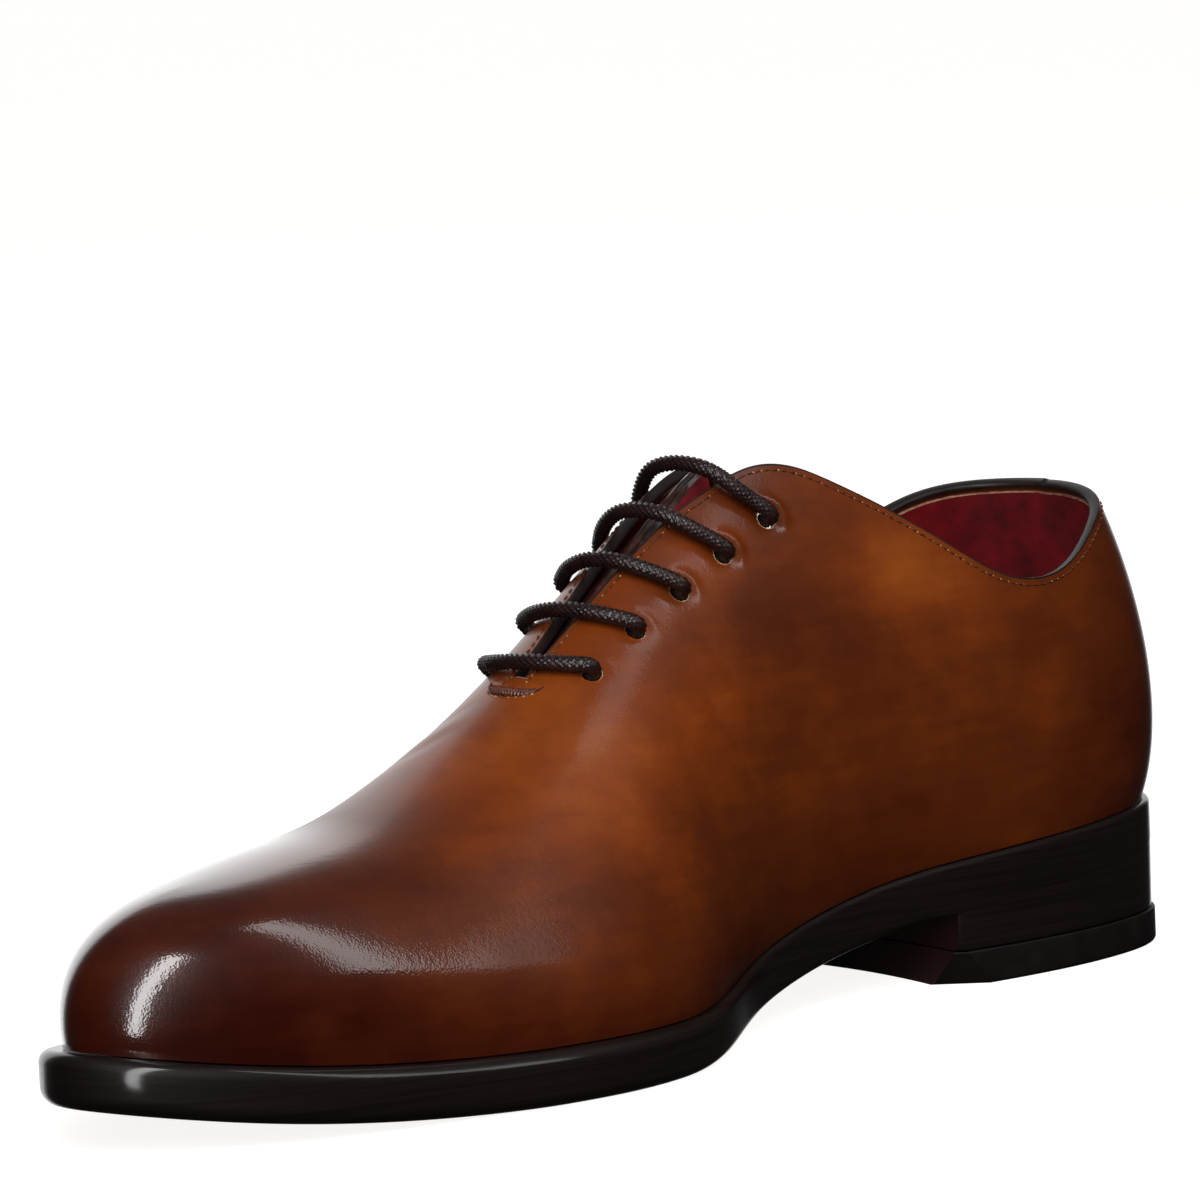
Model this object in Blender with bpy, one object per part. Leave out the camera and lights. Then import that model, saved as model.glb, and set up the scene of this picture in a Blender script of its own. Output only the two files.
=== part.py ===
"""Whole cut oxford, right shoe: one piece leather upper on a leather sole with a stacked heel.

X runs from the heel to the toe, Y to the medial side, Z up, in metres. The origin is on the floor
under the middle of the heel seat. The upper is one hollow wall over the surface of a last, which
last_point() works out from the named sizes and the table of sections below.
"""

import math
from collections import namedtuple

import bmesh
import bpy
import numpy as np
from mathutils import Vector

# Sizes of the sole
SHOE_LENGTH = 0.297
BALL_WIDTH = 0.1007
HEEL_CENTRE = 0.034
SEAT_HEIGHT = 0.0309
BREAST_RISE = 0.0155
TOE_SPRING = 0.0093
HEEL_EDGE = 0.0086
FORE_EDGE = 0.0106
WELT_THICKNESS = 0.0044
TOP_PIECE = 0.0072
TOP_PIECE_PROUD = 0.0007
PROUD_FADE = 0.035
EDGE_ROUND = 0.0022

# Heel breast: its lateral corner stands further back, its middle is hollow, and the medial corner is
# cut away from the floor up to the rise
BREAST_SLANT = 0.0085
BREAST_HOLLOW = 0.0026
CORNER_CUT = 0.0078
CORNER_RISE = 0.0092
CORNER_LEFT = 0.0005

# Stations along the shoe, as shares of its length from the back of the heel
BREAST = 0.257
FLAT_BACK = 0.602
FLAT_FRONT = 0.708

# Sizes of the upper
WALL = 0.0023
INSTEP_RISE = 0.088
BACK_RISE = 0.0658
SWELL = 0.010
LEDGE = 0.0046
THROAT = 0.582
FACING_TOP = 0.378
HALF_GAP_BOTTOM = 0.0011
HALF_GAP_TOP_MEDIAL = 0.0068
HALF_GAP_TOP_LATERAL = 0.0092
FACING_CORNER = 0.0040
THROAT_PAST_TOP = 0.030

# Lacing
EYELETS = 5
EYELET_START = 0.0115
EYELET_PITCH = 0.0130
MEDIAL_SPREAD_BOTTOM = 0.0123
MEDIAL_SPREAD_TOP = 0.0139
LATERAL_SPREAD_BOTTOM = 0.0136
LATERAL_SPREAD_TOP = 0.0188
EYELET_HOLE = 0.0044
LACE = 0.0034
LACE_STEP = 0.0025
BAR_ARCH_BOTTOM = 0.0006
BAR_ARCH_TOP = 0.0046
BAR_SAG_BOTTOM = 0.0042
BAR_SAG_TOP = 0.0026
BAR_BULGE = 0.0012

# Tongue and insole
TONGUE_THICKNESS = 0.0018
TONGUE_SHORT = 0.0028
TONGUE_TAIL = 0.012
TONGUE_HALF = 0.019
TONGUE_TAPER = 0.20
TONGUE_SINK = 0.012
TONGUE_TOP_CORNER = 0.006
TONGUE_TAIL_CORNER = 0.010
INSOLE_THICKNESS = 0.0030

CLEAR = 0.0003

# How finely the solids are cut
SIDE_SECTIONS = 44
WALL_ROWS = 11

# Where each section stands (share of the length), how far it reaches to each side (share of the ball
# width), how far the ridge leans to the lateral side, and then the swell of the wall, the height of its
# fullest part and the breadth of the crown
Section = namedtuple("Section", "name station spine lean medial lateral swell full crown ledge")
SECTIONS = (
    Section("heel back", 0.000, 0.113, 0.000, 0.000, 0.000, 0.98, 0.31, 0.63, 0.33),
    Section("heel quarter", 0.030, 0.119, 0.000, 0.228, 0.226, 1.14, 0.32, 0.63, 0.33),
    Section("heel side", 0.113, 0.140, 0.010, 0.317, 0.325, 0.80, 0.30, 0.62, 0.26),
    Section("breast", 0.250, 0.250, 0.036, 0.283, 0.340, 0.86, 0.28, 0.50, 0.22),
    Section("waist", 0.365, 0.365, 0.039, 0.234, 0.367, 0.98, 0.30, 0.50, 0.13),
    Section("joint back", 0.465, 0.465, 0.034, 0.291, 0.425, 0.80, 0.31, 0.48, 0.22),
    Section("outer joint", 0.556, 0.556, 0.028, 0.432, 0.490, 0.50, 0.33, 0.49, 0.48),
    Section("inner joint", 0.656, 0.656, 0.018, 0.489, 0.511, 0.34, 0.41, 0.53, 0.78),
    Section("vamp", 0.762, 0.762, 0.008, 0.429, 0.462, 0.30, 0.50, 0.58, 0.91),
    Section("toe box", 0.861, 0.845, 0.000, 0.350, 0.366, 0.31, 0.61, 0.63, 0.96),
    Section("toe quarter", 0.950, 0.882, 0.000, 0.220, 0.217, 0.30, 0.62, 0.64, 1.00),
    Section("toe tip", 1.000, 0.890, 0.000, 0.000, 0.000, 0.28, 0.62, 0.64, 1.00),
)

# Height of the last's ridge over the sole, as a share of the instep rise
Ridge = namedtuple("Ridge", "station rise")
RIDGE = (
    Ridge(0.10, 1.07),
    Ridge(0.20, 1.12),
    Ridge(0.29, 1.115),
    Ridge(0.36, 1.070),
    Ridge(0.45, 0.944),
    Ridge(0.586, 0.680),
    Ridge(0.70, 0.505),
    Ridge(0.80, 0.434),
    Ridge(0.90, 0.355),
)

# Height of the topline: 0 is the back of the collar, 1 the top of the facings
Topline = namedtuple("Topline", "station medial lateral")
TOPLINE = (
    Topline(0.030, 0.00, 0.00),
    Topline(0.080, -0.27, -0.02),
    Topline(0.120, -0.53, -0.14),
    Topline(0.150, -0.60, -0.28),
    Topline(0.190, -0.46, -0.36),
    Topline(0.228, -0.10, -0.18),
    Topline(0.266, 0.28, 0.16),
    Topline(0.300, 0.60, 0.50),
    Topline(0.340, 0.94, 0.90),
    Topline(0.365, 1.05, 1.02),
    Topline(0.400, 1.02, 1.00),
)


def station_x(station):
    return station * SHOE_LENGTH - HEEL_CENTRE


def spline(knots, values):
    """A smooth curve through values at knots, free at both ends."""
    count = len(knots)
    gap = np.diff(knots)
    rows = np.eye(count)
    wanted = np.zeros((count, values.shape[1]))
    for i in range(1, count - 1):
        rows[i, i - 1 : i + 2] = gap[i - 1], 2 * (gap[i - 1] + gap[i]), gap[i]
        wanted[i] = 6 * ((values[i + 1] - values[i]) / gap[i] - (values[i] - values[i - 1]) / gap[i - 1])
    bend = np.linalg.solve(rows, wanted)

    def at(place):
        i = int(np.clip(np.searchsorted(knots, place) - 1, 0, count - 2))
        after, before, width = place - knots[i], knots[i + 1] - place, gap[i]
        curve = (bend[i] * before**3 + bend[i + 1] * after**3) / (6 * width)
        start = values[i] / width - bend[i] * width / 6
        end = values[i + 1] / width - bend[i + 1] * width / 6
        return curve + start * before + end * after

    return at


def ring_spline(knots, values, around):
    """The same for a closed ring: three knots are repeated past each end."""
    wide = np.concatenate([knots[-4:] - around, knots, knots[:4] + around])
    at = spline(wide, np.concatenate([values[-4:], values, values[:4]]))
    return lambda place: at(place % around)


def smooth_step(share):
    share = min(max(share, 0.0), 1.0)
    return share * share * (3 - 2 * share)


def section_row(section, side):
    reach = section.medial if side > 0 else section.lateral
    return (
        station_x(section.station),
        side * reach * BALL_WIDTH,
        station_x(section.spine),
        -section.lean * BALL_WIDTH,
        section.swell * SWELL,
        section.full,
        section.crown,
        section.ledge * LEDGE,
    )


MEDIAL_ROWS = np.array([section_row(section, 1) for section in SECTIONS])
LATERAL_ROWS = np.array([section_row(section, -1) for section in SECTIONS])
MEDIAL_STEPS = np.linalg.norm(np.diff(MEDIAL_ROWS[:, :2], axis=0), axis=1)
LATERAL_STEPS = np.linalg.norm(np.diff(LATERAL_ROWS[:, :2], axis=0), axis=1)
SECTION_RUNS = np.concatenate([[0.0], np.cumsum((MEDIAL_STEPS + LATERAL_STEPS) / 2)])
RUN = SECTION_RUNS[-1]
ring_at = ring_spline(
    np.concatenate([SECTION_RUNS, 2 * RUN - SECTION_RUNS[-2:0:-1]]),
    np.concatenate([MEDIAL_ROWS, LATERAL_ROWS[-2:0:-1]]),
    2 * RUN,
)
ridge_at = spline(
    np.array([station_x(row.station) for row in RIDGE]),
    np.array([[row.rise * INSTEP_RISE] for row in RIDGE]),
)
topline_at = spline(
    np.array([station_x(row.station) for row in TOPLINE]),
    np.array([[row.medial, row.lateral] for row in TOPLINE]),
)


def tread_z(x):
    """The underside of the outsole over the floor: heel seat, arch, flat tread and toe spring."""
    breast, flat_back, flat_front = station_x(BREAST), station_x(FLAT_BACK), station_x(FLAT_FRONT)
    if x <= breast:
        share = (x - station_x(0)) / (breast - station_x(0))
        back = SEAT_HEIGHT - HEEL_EDGE
        return back + (BREAST_RISE - back) * (0.8 * share + 0.2 * share * share)
    if x < flat_back:
        share = (flat_back - x) / (flat_back - breast)
        return BREAST_RISE * (0.62 * smooth_step(share) + 0.38 * share**1.7)
    if x <= flat_front:
        return 0.0
    return TOE_SPRING * ((x - flat_front) / (station_x(1) - flat_front)) ** 1.9


def edge_thickness(x):
    waist = smooth_step((x - station_x(0)) / (station_x(0.35) - station_x(0)))
    return HEEL_EDGE + (FORE_EDGE - HEEL_EDGE) * waist


def seat_z(x):
    """The top of the welt, which the upper stands on."""
    return tread_z(x) + edge_thickness(x)


def ring_place(run, side):
    return run if side > 0 else 2 * RUN - run


def sole_edge(run, side, inset=0.0):
    """A point on the sole's outline in plan, moved in by inset."""
    place = ring_place(run, side)
    step = 0.0002
    x, y = ring_at(place)[:2]
    along = ring_at(place + step)[:2] - ring_at(place - step)[:2]
    along /= np.linalg.norm(along)
    return np.array([x + along[1] * inset, y - along[0] * inset])


def meridian(run, side):
    """The four handles of one section of the last: feather edge, fullest part, crown and ridge."""
    _, _, spine_x, spine_y, swell, full, crown, ledge = ring_at(ring_place(run, side))
    foot = sole_edge(run, side, ledge)
    spine = np.array([spine_x, spine_y])
    base = seat_z(foot[0]) + CLEAR
    step = 0.0005
    top = seat_z(spine_x) + ridge_at(spine_x)[0]
    ahead = seat_z(spine_x + step) + ridge_at(spine_x + step)[0]
    slope = (ahead - top) / step
    out = foot - spine
    bulge = foot + out / np.linalg.norm(out) * swell
    shoulder = spine + out * crown
    return np.array(
        [
            (foot[0], foot[1], base),
            (bulge[0], bulge[1], base + (top - base) * full),
            (shoulder[0], shoulder[1], top + slope * (shoulder[0] - spine_x)),
            (spine[0], spine[1], top),
        ]
    )


def along_meridian(handles, share):
    rest = 1 - share
    weights = (rest**3, 3 * rest * rest * share, 3 * rest * share * share, share**3)
    return sum(weight * handle for weight, handle in zip(weights, handles))


def last_point(run, side, share):
    return along_meridian(meridian(run, side), share)


def last_normal(run, side, share):
    """The last's outward direction at a point."""
    step = 0.002
    share = min(max(share, step), 1 - step)
    up = last_point(run, side, share + step) - last_point(run, side, share - step)
    forward = last_point(run + 0.0005, side, share) - last_point(run - 0.0005, side, share)
    out = np.cross(up, forward) * side
    return out / np.linalg.norm(out)


def run_at(x, column=0):
    """The run of the section whose foot (column 0) or spine (column 2) is at x."""
    low, high = 0.0, RUN
    for _ in range(40):
        middle = (low + high) / 2
        if ring_at(middle)[column] < x:
            low = middle
        else:
            high = middle
    return (low + high) / 2


def throat_share(x):
    """How far up the throat x is: 0 at its bottom, 1 at the top of the facings."""
    throat, top = station_x(THROAT), station_x(FACING_TOP)
    return max((throat - x) / (throat - top), 0.0)


def half_gap(x, side):
    """How far a facing's edge at x is from the ridge."""
    top = HALF_GAP_TOP_MEDIAL if side > 0 else HALF_GAP_TOP_LATERAL
    return HALF_GAP_BOTTOM + (top - HALF_GAP_BOTTOM) * throat_share(x) ** 1.35


def eyelet_spread(x, side):
    """How far the eyelets at x are from the ridge."""
    bottom, top = LATERAL_SPREAD_BOTTOM, LATERAL_SPREAD_TOP
    if side > 0:
        bottom, top = MEDIAL_SPREAD_BOTTOM, MEDIAL_SPREAD_TOP
    return bottom + (top - bottom) * throat_share(x)


def share_beside(handles, spread, lowest=0.3):
    """How far up a meridian the point lies that is spread away from the ridge, in plan."""
    low, high = lowest, 1.0
    for _ in range(40):
        middle = (low + high) / 2
        if abs(along_meridian(handles, middle)[1] - handles[3][1]) > spread:
            low = middle
        else:
            high = middle
    return (low + high) / 2


def topline_z(x, side):
    climb = topline_at(x)[0 if side > 0 else 1]
    return seat_z(x) + BACK_RISE + climb * (INSTEP_RISE - BACK_RISE)


def in_opening(point, spine_y, side):
    """Whether a point of the last lies over the topline or between the facings, whose corner is round."""
    x, y, z = point
    above = max(z - topline_z(x, side) + FACING_CORNER, 0.0)
    between = max(half_gap(x, side) - abs(y - spine_y) + FACING_CORNER, 0.0)
    if x < station_x(FACING_TOP) - THROAT_PAST_TOP:
        between = 0.0
    return math.hypot(above, between) > FACING_CORNER


def opening_share(run, side):
    """How far up its meridian the upper goes: to the ridge, to its facing's edge or to the topline."""
    if run >= THROAT_RUN:
        return 1.0
    handles = meridian(run, side)
    low, high = 0.2, 1.0
    for _ in range(40):
        middle = (low + high) / 2
        if in_opening(along_meridian(handles, middle), handles[3][1], side):
            high = middle
        else:
            low = middle
    return (low + high) / 2


THROAT_RUN = run_at(station_x(THROAT), 2)
BREAST_RUN = run_at(station_x(BREAST))
CORNER_RUN = run_at(station_x(BREAST) - CORNER_CUT)


def section_runs():
    """Even steps from heel to toe, with one section at the throat and one at each end of the tread."""
    runs = list(np.linspace(0, RUN, SIDE_SECTIONS + 1))
    wanted = [THROAT_RUN, BREAST_RUN]
    wanted += [run_at(station_x(FLAT_BACK)), run_at(station_x(FLAT_FRONT))]
    for run in wanted:
        nearest = min(range(1, SIDE_SECTIONS), key=lambda k: abs(runs[k] - run))
        runs[nearest] = run
    return sorted(runs)


RUNS = section_runs()


def material(name, colour, roughness):
    made = bpy.data.materials.new(name)
    made.use_nodes = True
    shader = made.node_tree.nodes["Principled BSDF"]
    shader.inputs["Base Color"].default_value = (*colour, 1)
    shader.inputs["Roughness"].default_value = roughness
    made.diffuse_color = (*colour, 1)
    return made


def solid(name, vertices, faces, finish):
    """A named object from points and faces, with its faces turned outwards."""
    mesh = bpy.data.meshes.new(name)
    shape = bmesh.new()
    points = [shape.verts.new(vertex) for vertex in vertices]
    for face in faces:
        shape.faces.new([points[i] for i in face])
    bmesh.ops.recalc_face_normals(shape, faces=shape.faces)
    shape.to_mesh(mesh)
    shape.free()
    mesh.shade_smooth()
    mesh.set_sharp_from_angle(angle=math.radians(40))
    mesh.materials.append(finish)
    made = bpy.data.objects.new(name, mesh)
    bpy.context.scene.collection.objects.link(made)
    return made


def whole_ring():
    return [(run, 1) for run in RUNS] + [(run, -1) for run in RUNS[-2:0:-1]]


def upper_grid():
    """Points of the outer face: around the ring of sections, then up each one."""
    ring = whole_ring()
    grid = []
    for run, side in ring:
        handles = meridian(run, side)
        end = opening_share(run, side)
        shares = [end * row / WALL_ROWS for row in range(WALL_ROWS + 1)]
        grid.append([along_meridian(handles, share) for share in shares])
    return ring, np.array(grid)


def make_upper(finish):
    ring, grid = upper_grid()
    count, rows = len(ring), WALL_ROWS + 1
    mirror = [(count - i) % count for i in range(count)]
    # Ahead of the throat both sides share their ridge points
    index = np.arange(count * rows).reshape(count, rows)
    for i in range(count):
        if ring[i][0] >= THROAT_RUN and ring[i][1] < 0:
            index[i, -1] = index[mirror[i], -1]
            grid[i, -1] = grid[mirror[i], -1]
    points = grid.reshape(-1, 3)
    sheet = []
    for i in range(count):
        j = (i + 1) % count
        for row in range(rows - 1):
            sheet.append((index[i, row], index[j, row], index[j, row + 1], index[i, row + 1]))
    normals = np.zeros_like(points)
    for face in sheet:
        corners = points[list(face)]
        across = np.cross(corners[2] - corners[0], corners[3] - corners[1])
        for i in face:
            normals[i] += across
    lengths = np.linalg.norm(normals, axis=1)
    normals /= np.where(lengths > 0, lengths, 1)[:, None]
    middle = np.array([station_x(0.5), 0, seat_z(station_x(0.5)) + INSTEP_RISE * 0.3])
    if ((points - middle) * normals).sum() < 0:
        normals = -normals
    inner = points - normals * WALL
    for i in range(count):
        inner[index[i, 0], 2] = points[index[i, 0], 2]
    used = sorted(set(int(i) for i in index.ravel()))
    number = {old: new for new, old in enumerate(used)}
    total = len(used)
    vertices = [tuple(points[i]) for i in used] + [tuple(inner[i]) for i in used]
    faces = []
    for face in sheet:
        outer = [number[int(i)] for i in face]
        outer = [i for k, i in enumerate(outer) if i != outer[k - 1]]
        faces.append(outer)
        faces.append([i + total for i in reversed(outer)])
    for i in range(count):
        j = (i + 1) % count
        low, next_low = number[int(index[i, 0])], number[int(index[j, 0])]
        faces.append((low, low + total, next_low + total, next_low))
        open_here = ring[i][0] < THROAT_RUN or ring[j][0] < THROAT_RUN
        if open_here:
            top, next_top = number[int(index[i, -1])], number[int(index[j, -1])]
            faces.append((top, next_top, next_top + total, top + total))
    upper = solid("upper", vertices, faces, finish)
    cut_eyelets(upper)
    return upper


def eyelet_place(number, side):
    """The run and share of an eyelet, counted from the throat's bottom."""
    x = station_x(THROAT) - EYELET_START - number * EYELET_PITCH
    run = run_at(x, 2)
    return run, share_beside(meridian(run, side), eyelet_spread(x, side))


def eyelet_frame(number, side):
    run, share = eyelet_place(number, side)
    return last_point(run, side, share), last_normal(run, side, share)


def cut_eyelets(upper):
    cutters = bpy.data.collections.new("eyelet cutters")
    bpy.context.scene.collection.children.link(cutters)
    for number in range(EYELETS):
        for side in (1, -1):
            place, out = eyelet_frame(number, side)
            mesh = bpy.data.meshes.new(f"eyelet_{number}_{side}")
            shape = bmesh.new()
            radius = EYELET_HOLE / 2
            bmesh.ops.create_cone(
                shape, cap_ends=True, segments=10, radius1=radius, radius2=radius, depth=WALL * 4
            )
            shape.to_mesh(mesh)
            shape.free()
            cutter = bpy.data.objects.new(mesh.name, mesh)
            cutter.location = Vector(place - out * WALL / 2)
            cutter.rotation_mode = "QUATERNION"
            cutter.rotation_quaternion = Vector(out).to_track_quat("Z", "Y")
            cutter.hide_render = True
            cutter.display_type = "WIRE"
            cutters.objects.link(cutter)
    holes = upper.modifiers.new("eyelet holes", "BOOLEAN")
    holes.operation = "DIFFERENCE"
    holes.solver = "EXACT"
    holes.operand_type = "COLLECTION"
    holes.collection = cutters


def sole_foot(run, side, inset, _):
    return sole_edge(run, side, inset)


def slab(name, profile, finish, foot=sole_foot, ring=None, chords=None):
    """A layer over the whole outline or its back part, from rows of (inset, height function).

    The rows go up round the layer's side. Straight chords from the medial to the lateral side fill
    its underside and its top, and one face closes what lies ahead of the last chord. A row's foot also
    depends on how high the row stands at the breast.
    """
    ring = ring or whole_ring()
    chords = chords or len(RUNS)
    count = len(ring)
    vertices, faces = [], []
    for inset, height in profile:
        level = height(station_x(BREAST))
        for run, side in ring:
            x, y = foot(run, side, inset, level)
            vertices.append((x, y, height(x)))
    for row in range(len(profile) - 1):
        for i in range(count):
            j = (i + 1) % count
            low, high = row * count, (row + 1) * count
            faces.append((low + i, low + j, high + j, high + i))
    last = (len(profile) - 1) * count
    for start in (0, last):
        for i in range(chords - 1):
            j = i + 1
            other_i, other_j = (count - i) % count, (count - j) % count
            chord = [start + i, start + j, start + other_j, start + other_i]
            chord = [p for n, p in enumerate(chord) if p not in chord[:n]]
            if len(chord) > 2:
                faces.append(chord)
        front = range(chords - 1, count - chords + 2)
        if len(front) > 2:
            faces.append([start + i for i in front])
    return solid(name, vertices, faces, finish)


def split_z(x):
    """The joint between the welt and the outsole."""
    return seat_z(x) - WELT_THICKNESS


def make_welt(finish):
    profile = (
        (EDGE_ROUND * 1.6, lambda x: split_z(x) + CLEAR),
        (EDGE_ROUND * 0.15, lambda x: split_z(x) + CLEAR),
        (0.0, lambda x: split_z(x) + CLEAR + EDGE_ROUND * 0.2),
        (0.0, lambda x: seat_z(x) - EDGE_ROUND * 0.9),
        (EDGE_ROUND * 0.28, lambda x: seat_z(x) - EDGE_ROUND * 0.3),
        (EDGE_ROUND * 0.9, lambda x: seat_z(x)),
        (EDGE_ROUND * 1.6, lambda x: seat_z(x)),
    )
    return slab("welt", profile, finish)


def make_outsole(finish):
    profile = (
        (EDGE_ROUND * 1.6, tread_z),
        (EDGE_ROUND * 0.9, tread_z),
        (EDGE_ROUND * 0.25, lambda x: tread_z(x) + EDGE_ROUND * 0.35),
        (0.0, lambda x: tread_z(x) + EDGE_ROUND),
        (0.0, lambda x: split_z(x) - EDGE_ROUND * 0.15),
        (EDGE_ROUND * 0.15, lambda x: split_z(x)),
        (EDGE_ROUND * 1.6, lambda x: split_z(x)),
    )
    return slab("outsole", profile, finish)


def heel_ring():
    """The heel's outline and its number of chords: the sole's runs, then the corner and the breast."""
    behind = run_at(station_x(BREAST) - BREAST_SLANT - BREAST_HOLLOW)
    runs = [run for run in RUNS if run < behind]
    breast = [(BREAST_RUN, 1 - column / 4) for column in range(9)]
    ring = [(run, 1) for run in runs] + [(CORNER_RUN, 1)] + breast
    return ring + [(run, -1) for run in reversed(runs[1:])], len(runs)


def heel_foot(run, side, inset, level):
    """The heel's outline at a level; across the breast the side goes from 1 to -1.

    The top piece stands a little proud at the back.
    """
    if run < CORNER_RUN:
        behind = 1 - smooth_step((ring_at(run)[0] + HEEL_CENTRE) / PROUD_FADE)
        return sole_edge(run, side, inset - TOP_PIECE_PROUD * behind * (level <= TOP_PIECE))
    cut = max(CORNER_CUT * (1 - level / CORNER_RISE), CORNER_LEFT)
    if run == CORNER_RUN:
        return sole_edge(run_at(station_x(BREAST) - cut), side, inset)
    medial = sole_edge(BREAST_RUN, 1, inset) - (0.0, cut)
    lateral = sole_edge(run_at(station_x(BREAST) - BREAST_SLANT), -1, inset)
    across = (1 - side) / 2
    hollow = BREAST_HOLLOW * 4 * across * (1 - across)
    return medial + (lateral - medial) * across - (hollow, 0.0)


def make_heel(stack_finish, piece_finish):
    ring, chords = heel_ring()
    stack = (
        (0.0003, lambda x: TOP_PIECE + CLEAR),
        (0.0002, lambda x: CORNER_RISE),
        (0.0001, lambda x: tread_z(x) - CLEAR - 0.001),
        (0.0004, lambda x: tread_z(x) - CLEAR),
    )
    slab("heel_stack", stack, stack_finish, heel_foot, ring, chords)
    piece = (
        (0.0012, lambda x: 0.0),
        (0.0002, lambda x: 0.0010),
        (0.0002, lambda x: TOP_PIECE - 0.0004),
        (0.0006, lambda x: TOP_PIECE),
    )
    slab("heel_top_piece", piece, piece_finish, heel_foot, ring, chords)


def insole_foot(run, side, inset, _):
    ledge = ring_at(ring_place(run, side))[7]
    return sole_edge(run, side, ledge + WALL + CLEAR * 2 + inset)


def make_insole(finish):
    profile = (
        (0.0005, lambda x: seat_z(x) + CLEAR),
        (0.0, lambda x: seat_z(x) + CLEAR + 0.0005),
        (0.0, lambda x: seat_z(x) + CLEAR + INSOLE_THICKNESS - 0.0006),
        (0.0006, lambda x: seat_z(x) + CLEAR + INSOLE_THICKNESS),
    )
    return slab("insole", profile, finish, insole_foot)


def tongue_depth(spread, x, side):
    """How far the tongue's face lies under the last's surface: it rises between the facings."""
    under = WALL + LACE + 4 * CLEAR
    between = WALL + 0.0008
    room = eyelet_spread(x, side) - LACE
    share = smooth_step((spread - room * 0.35) / (room * 0.5))
    closed = smooth_step((x - station_x(THROAT) + TONGUE_SINK) / TONGUE_SINK)
    share = max(share, closed)
    return between + (under - between) * share


def make_tongue(finish):
    top_x = station_x(FACING_TOP) + TONGUE_SHORT
    tail_x = station_x(THROAT) + TONGUE_TAIL
    rows, columns = 15, 12
    front, back = [], []
    for row in range(rows + 1):
        share = row / rows
        for column in range(columns + 1):
            across = 2 * column / columns - 1
            side = 1 if across >= 0 else -1
            width = TONGUE_HALF * (1 - TONGUE_TAPER * (1 - share)) * abs(across)
            x = tail_x + (top_x - tail_x) * share
            x += TONGUE_TOP_CORNER * abs(across) ** 3 * share**6
            x -= TONGUE_TAIL_CORNER * abs(across) ** 3 * (1 - share) ** 4
            run = run_at(x, 2)
            share_up = share_beside(meridian(run, side), width)
            point = last_point(run, side, share_up)
            out = last_normal(run, side, share_up)
            if column * 2 == columns:
                out = ridge_normal(x)
            depth = tongue_depth(width, x, side)
            front.append(point - out * depth)
            back.append(point - out * (depth + TONGUE_THICKNESS))
    vertices = front + back
    total, wide = len(front), columns + 1
    faces = []
    for row in range(rows):
        for column in range(columns):
            a = row * wide + column
            quad = (a, a + 1, a + wide + 1, a + wide)
            faces.append(quad)
            faces.append(tuple(i + total for i in reversed(quad)))
    border = [column for column in range(columns)]
    border += [row * wide + columns for row in range(rows)]
    border += [rows * wide + column for column in range(columns, 0, -1)]
    border += [row * wide for row in range(rows, 0, -1)]
    for k, a in enumerate(border):
        b = border[(k + 1) % len(border)]
        faces.append((a, b, b + total, a + total))
    return solid("tongue", vertices, faces, finish)


def under_facing(x, side, beside, depth):
    """A point under the facing at x, moved away from the throat by beside."""
    run = run_at(x, 2)
    share = share_beside(meridian(run, side), eyelet_spread(x, side) + beside)
    return last_point(run, side, share) - last_normal(run, side, share) * depth


def ridge_normal(x):
    """Square to the last's ridge at x, in the plane of the shoe's length."""
    step = 0.001
    rise = (seat_z(x + step) + ridge_at(x + step)[0]) - (seat_z(x - step) + ridge_at(x - step)[0])
    out = np.array([-rise, 0.0, 2 * step])
    return out / np.linalg.norm(out)


def clear_of_upper(point):
    """Moves a point of the lace out until the lace lies on the leather, not in it."""
    run = run_at(point[0], 2)
    side = 1 if point[1] > ring_at(run)[3] else -1
    handles = meridian(run, side)
    share = share_beside(handles, abs(point[1] - handles[3][1]))
    out = last_normal(run, side, share)
    over = np.dot(point - along_meridian(handles, share), out)
    return point + out * max(0.0, LACE / 2 + CLEAR * 1.3 - over)


def lace_route():
    """Straight bars over the throat, joined by runs under the facings; both ends stop at the top eyelets."""
    under = WALL + LACE / 2 + CLEAR * 1.5
    first_x = station_x(THROAT) - EYELET_START
    top_x = first_x - (EYELETS - 1) * EYELET_PITCH
    beside = LACE + CLEAR * 3
    route = []
    side = 1
    strand = EYELETS + 2
    for number in range(strand):
        x = top_x + (first_x - top_x) * number / strand
        route.append(under_facing(x, side, beside, under))
    for number in range(EYELETS):
        climb = (number / (EYELETS - 1)) ** 0.35
        arch = BAR_ARCH_BOTTOM + (BAR_ARCH_TOP - BAR_ARCH_BOTTOM) * climb
        sag = BAR_SAG_BOTTOM + (BAR_SAG_TOP - BAR_SAG_BOTTOM) * climb
        near, near_out = eyelet_frame(number, side)
        far, far_out = eyelet_frame(number, -side)
        lift = ridge_normal(near[0])
        toeward = np.array([lift[2], 0.0, -lift[0]])
        route.append(near - near_out * under * 0.96)
        route.append(near - near_out * WALL * 0.5)
        route.append(near + near_out * LACE * 0.52)
        for share in (0.11, 0.23, 0.36, 0.5, 0.64, 0.77, 0.89):
            curve = math.sin(math.pi * (0.10 + 0.80 * share)) ** 0.8
            bulge = (near_out * (1 - share) + far_out * share) * BAR_BULGE
            point = near + (far - near) * share + lift * arch * curve
            point += (bulge + toeward * sag) * math.sin(math.pi * share)
            route.append(clear_of_upper(point))
        route.append(far + far_out * LACE * 0.52)
        route.append(far - far_out * WALL * 0.5)
        route.append(far - far_out * under * 0.96)
        side = -side
        if number < EYELETS - 1:
            x = first_x - (number + 0.5) * EYELET_PITCH
            route.append(under_facing(x, side, 0.0004, under))
    return route


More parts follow.
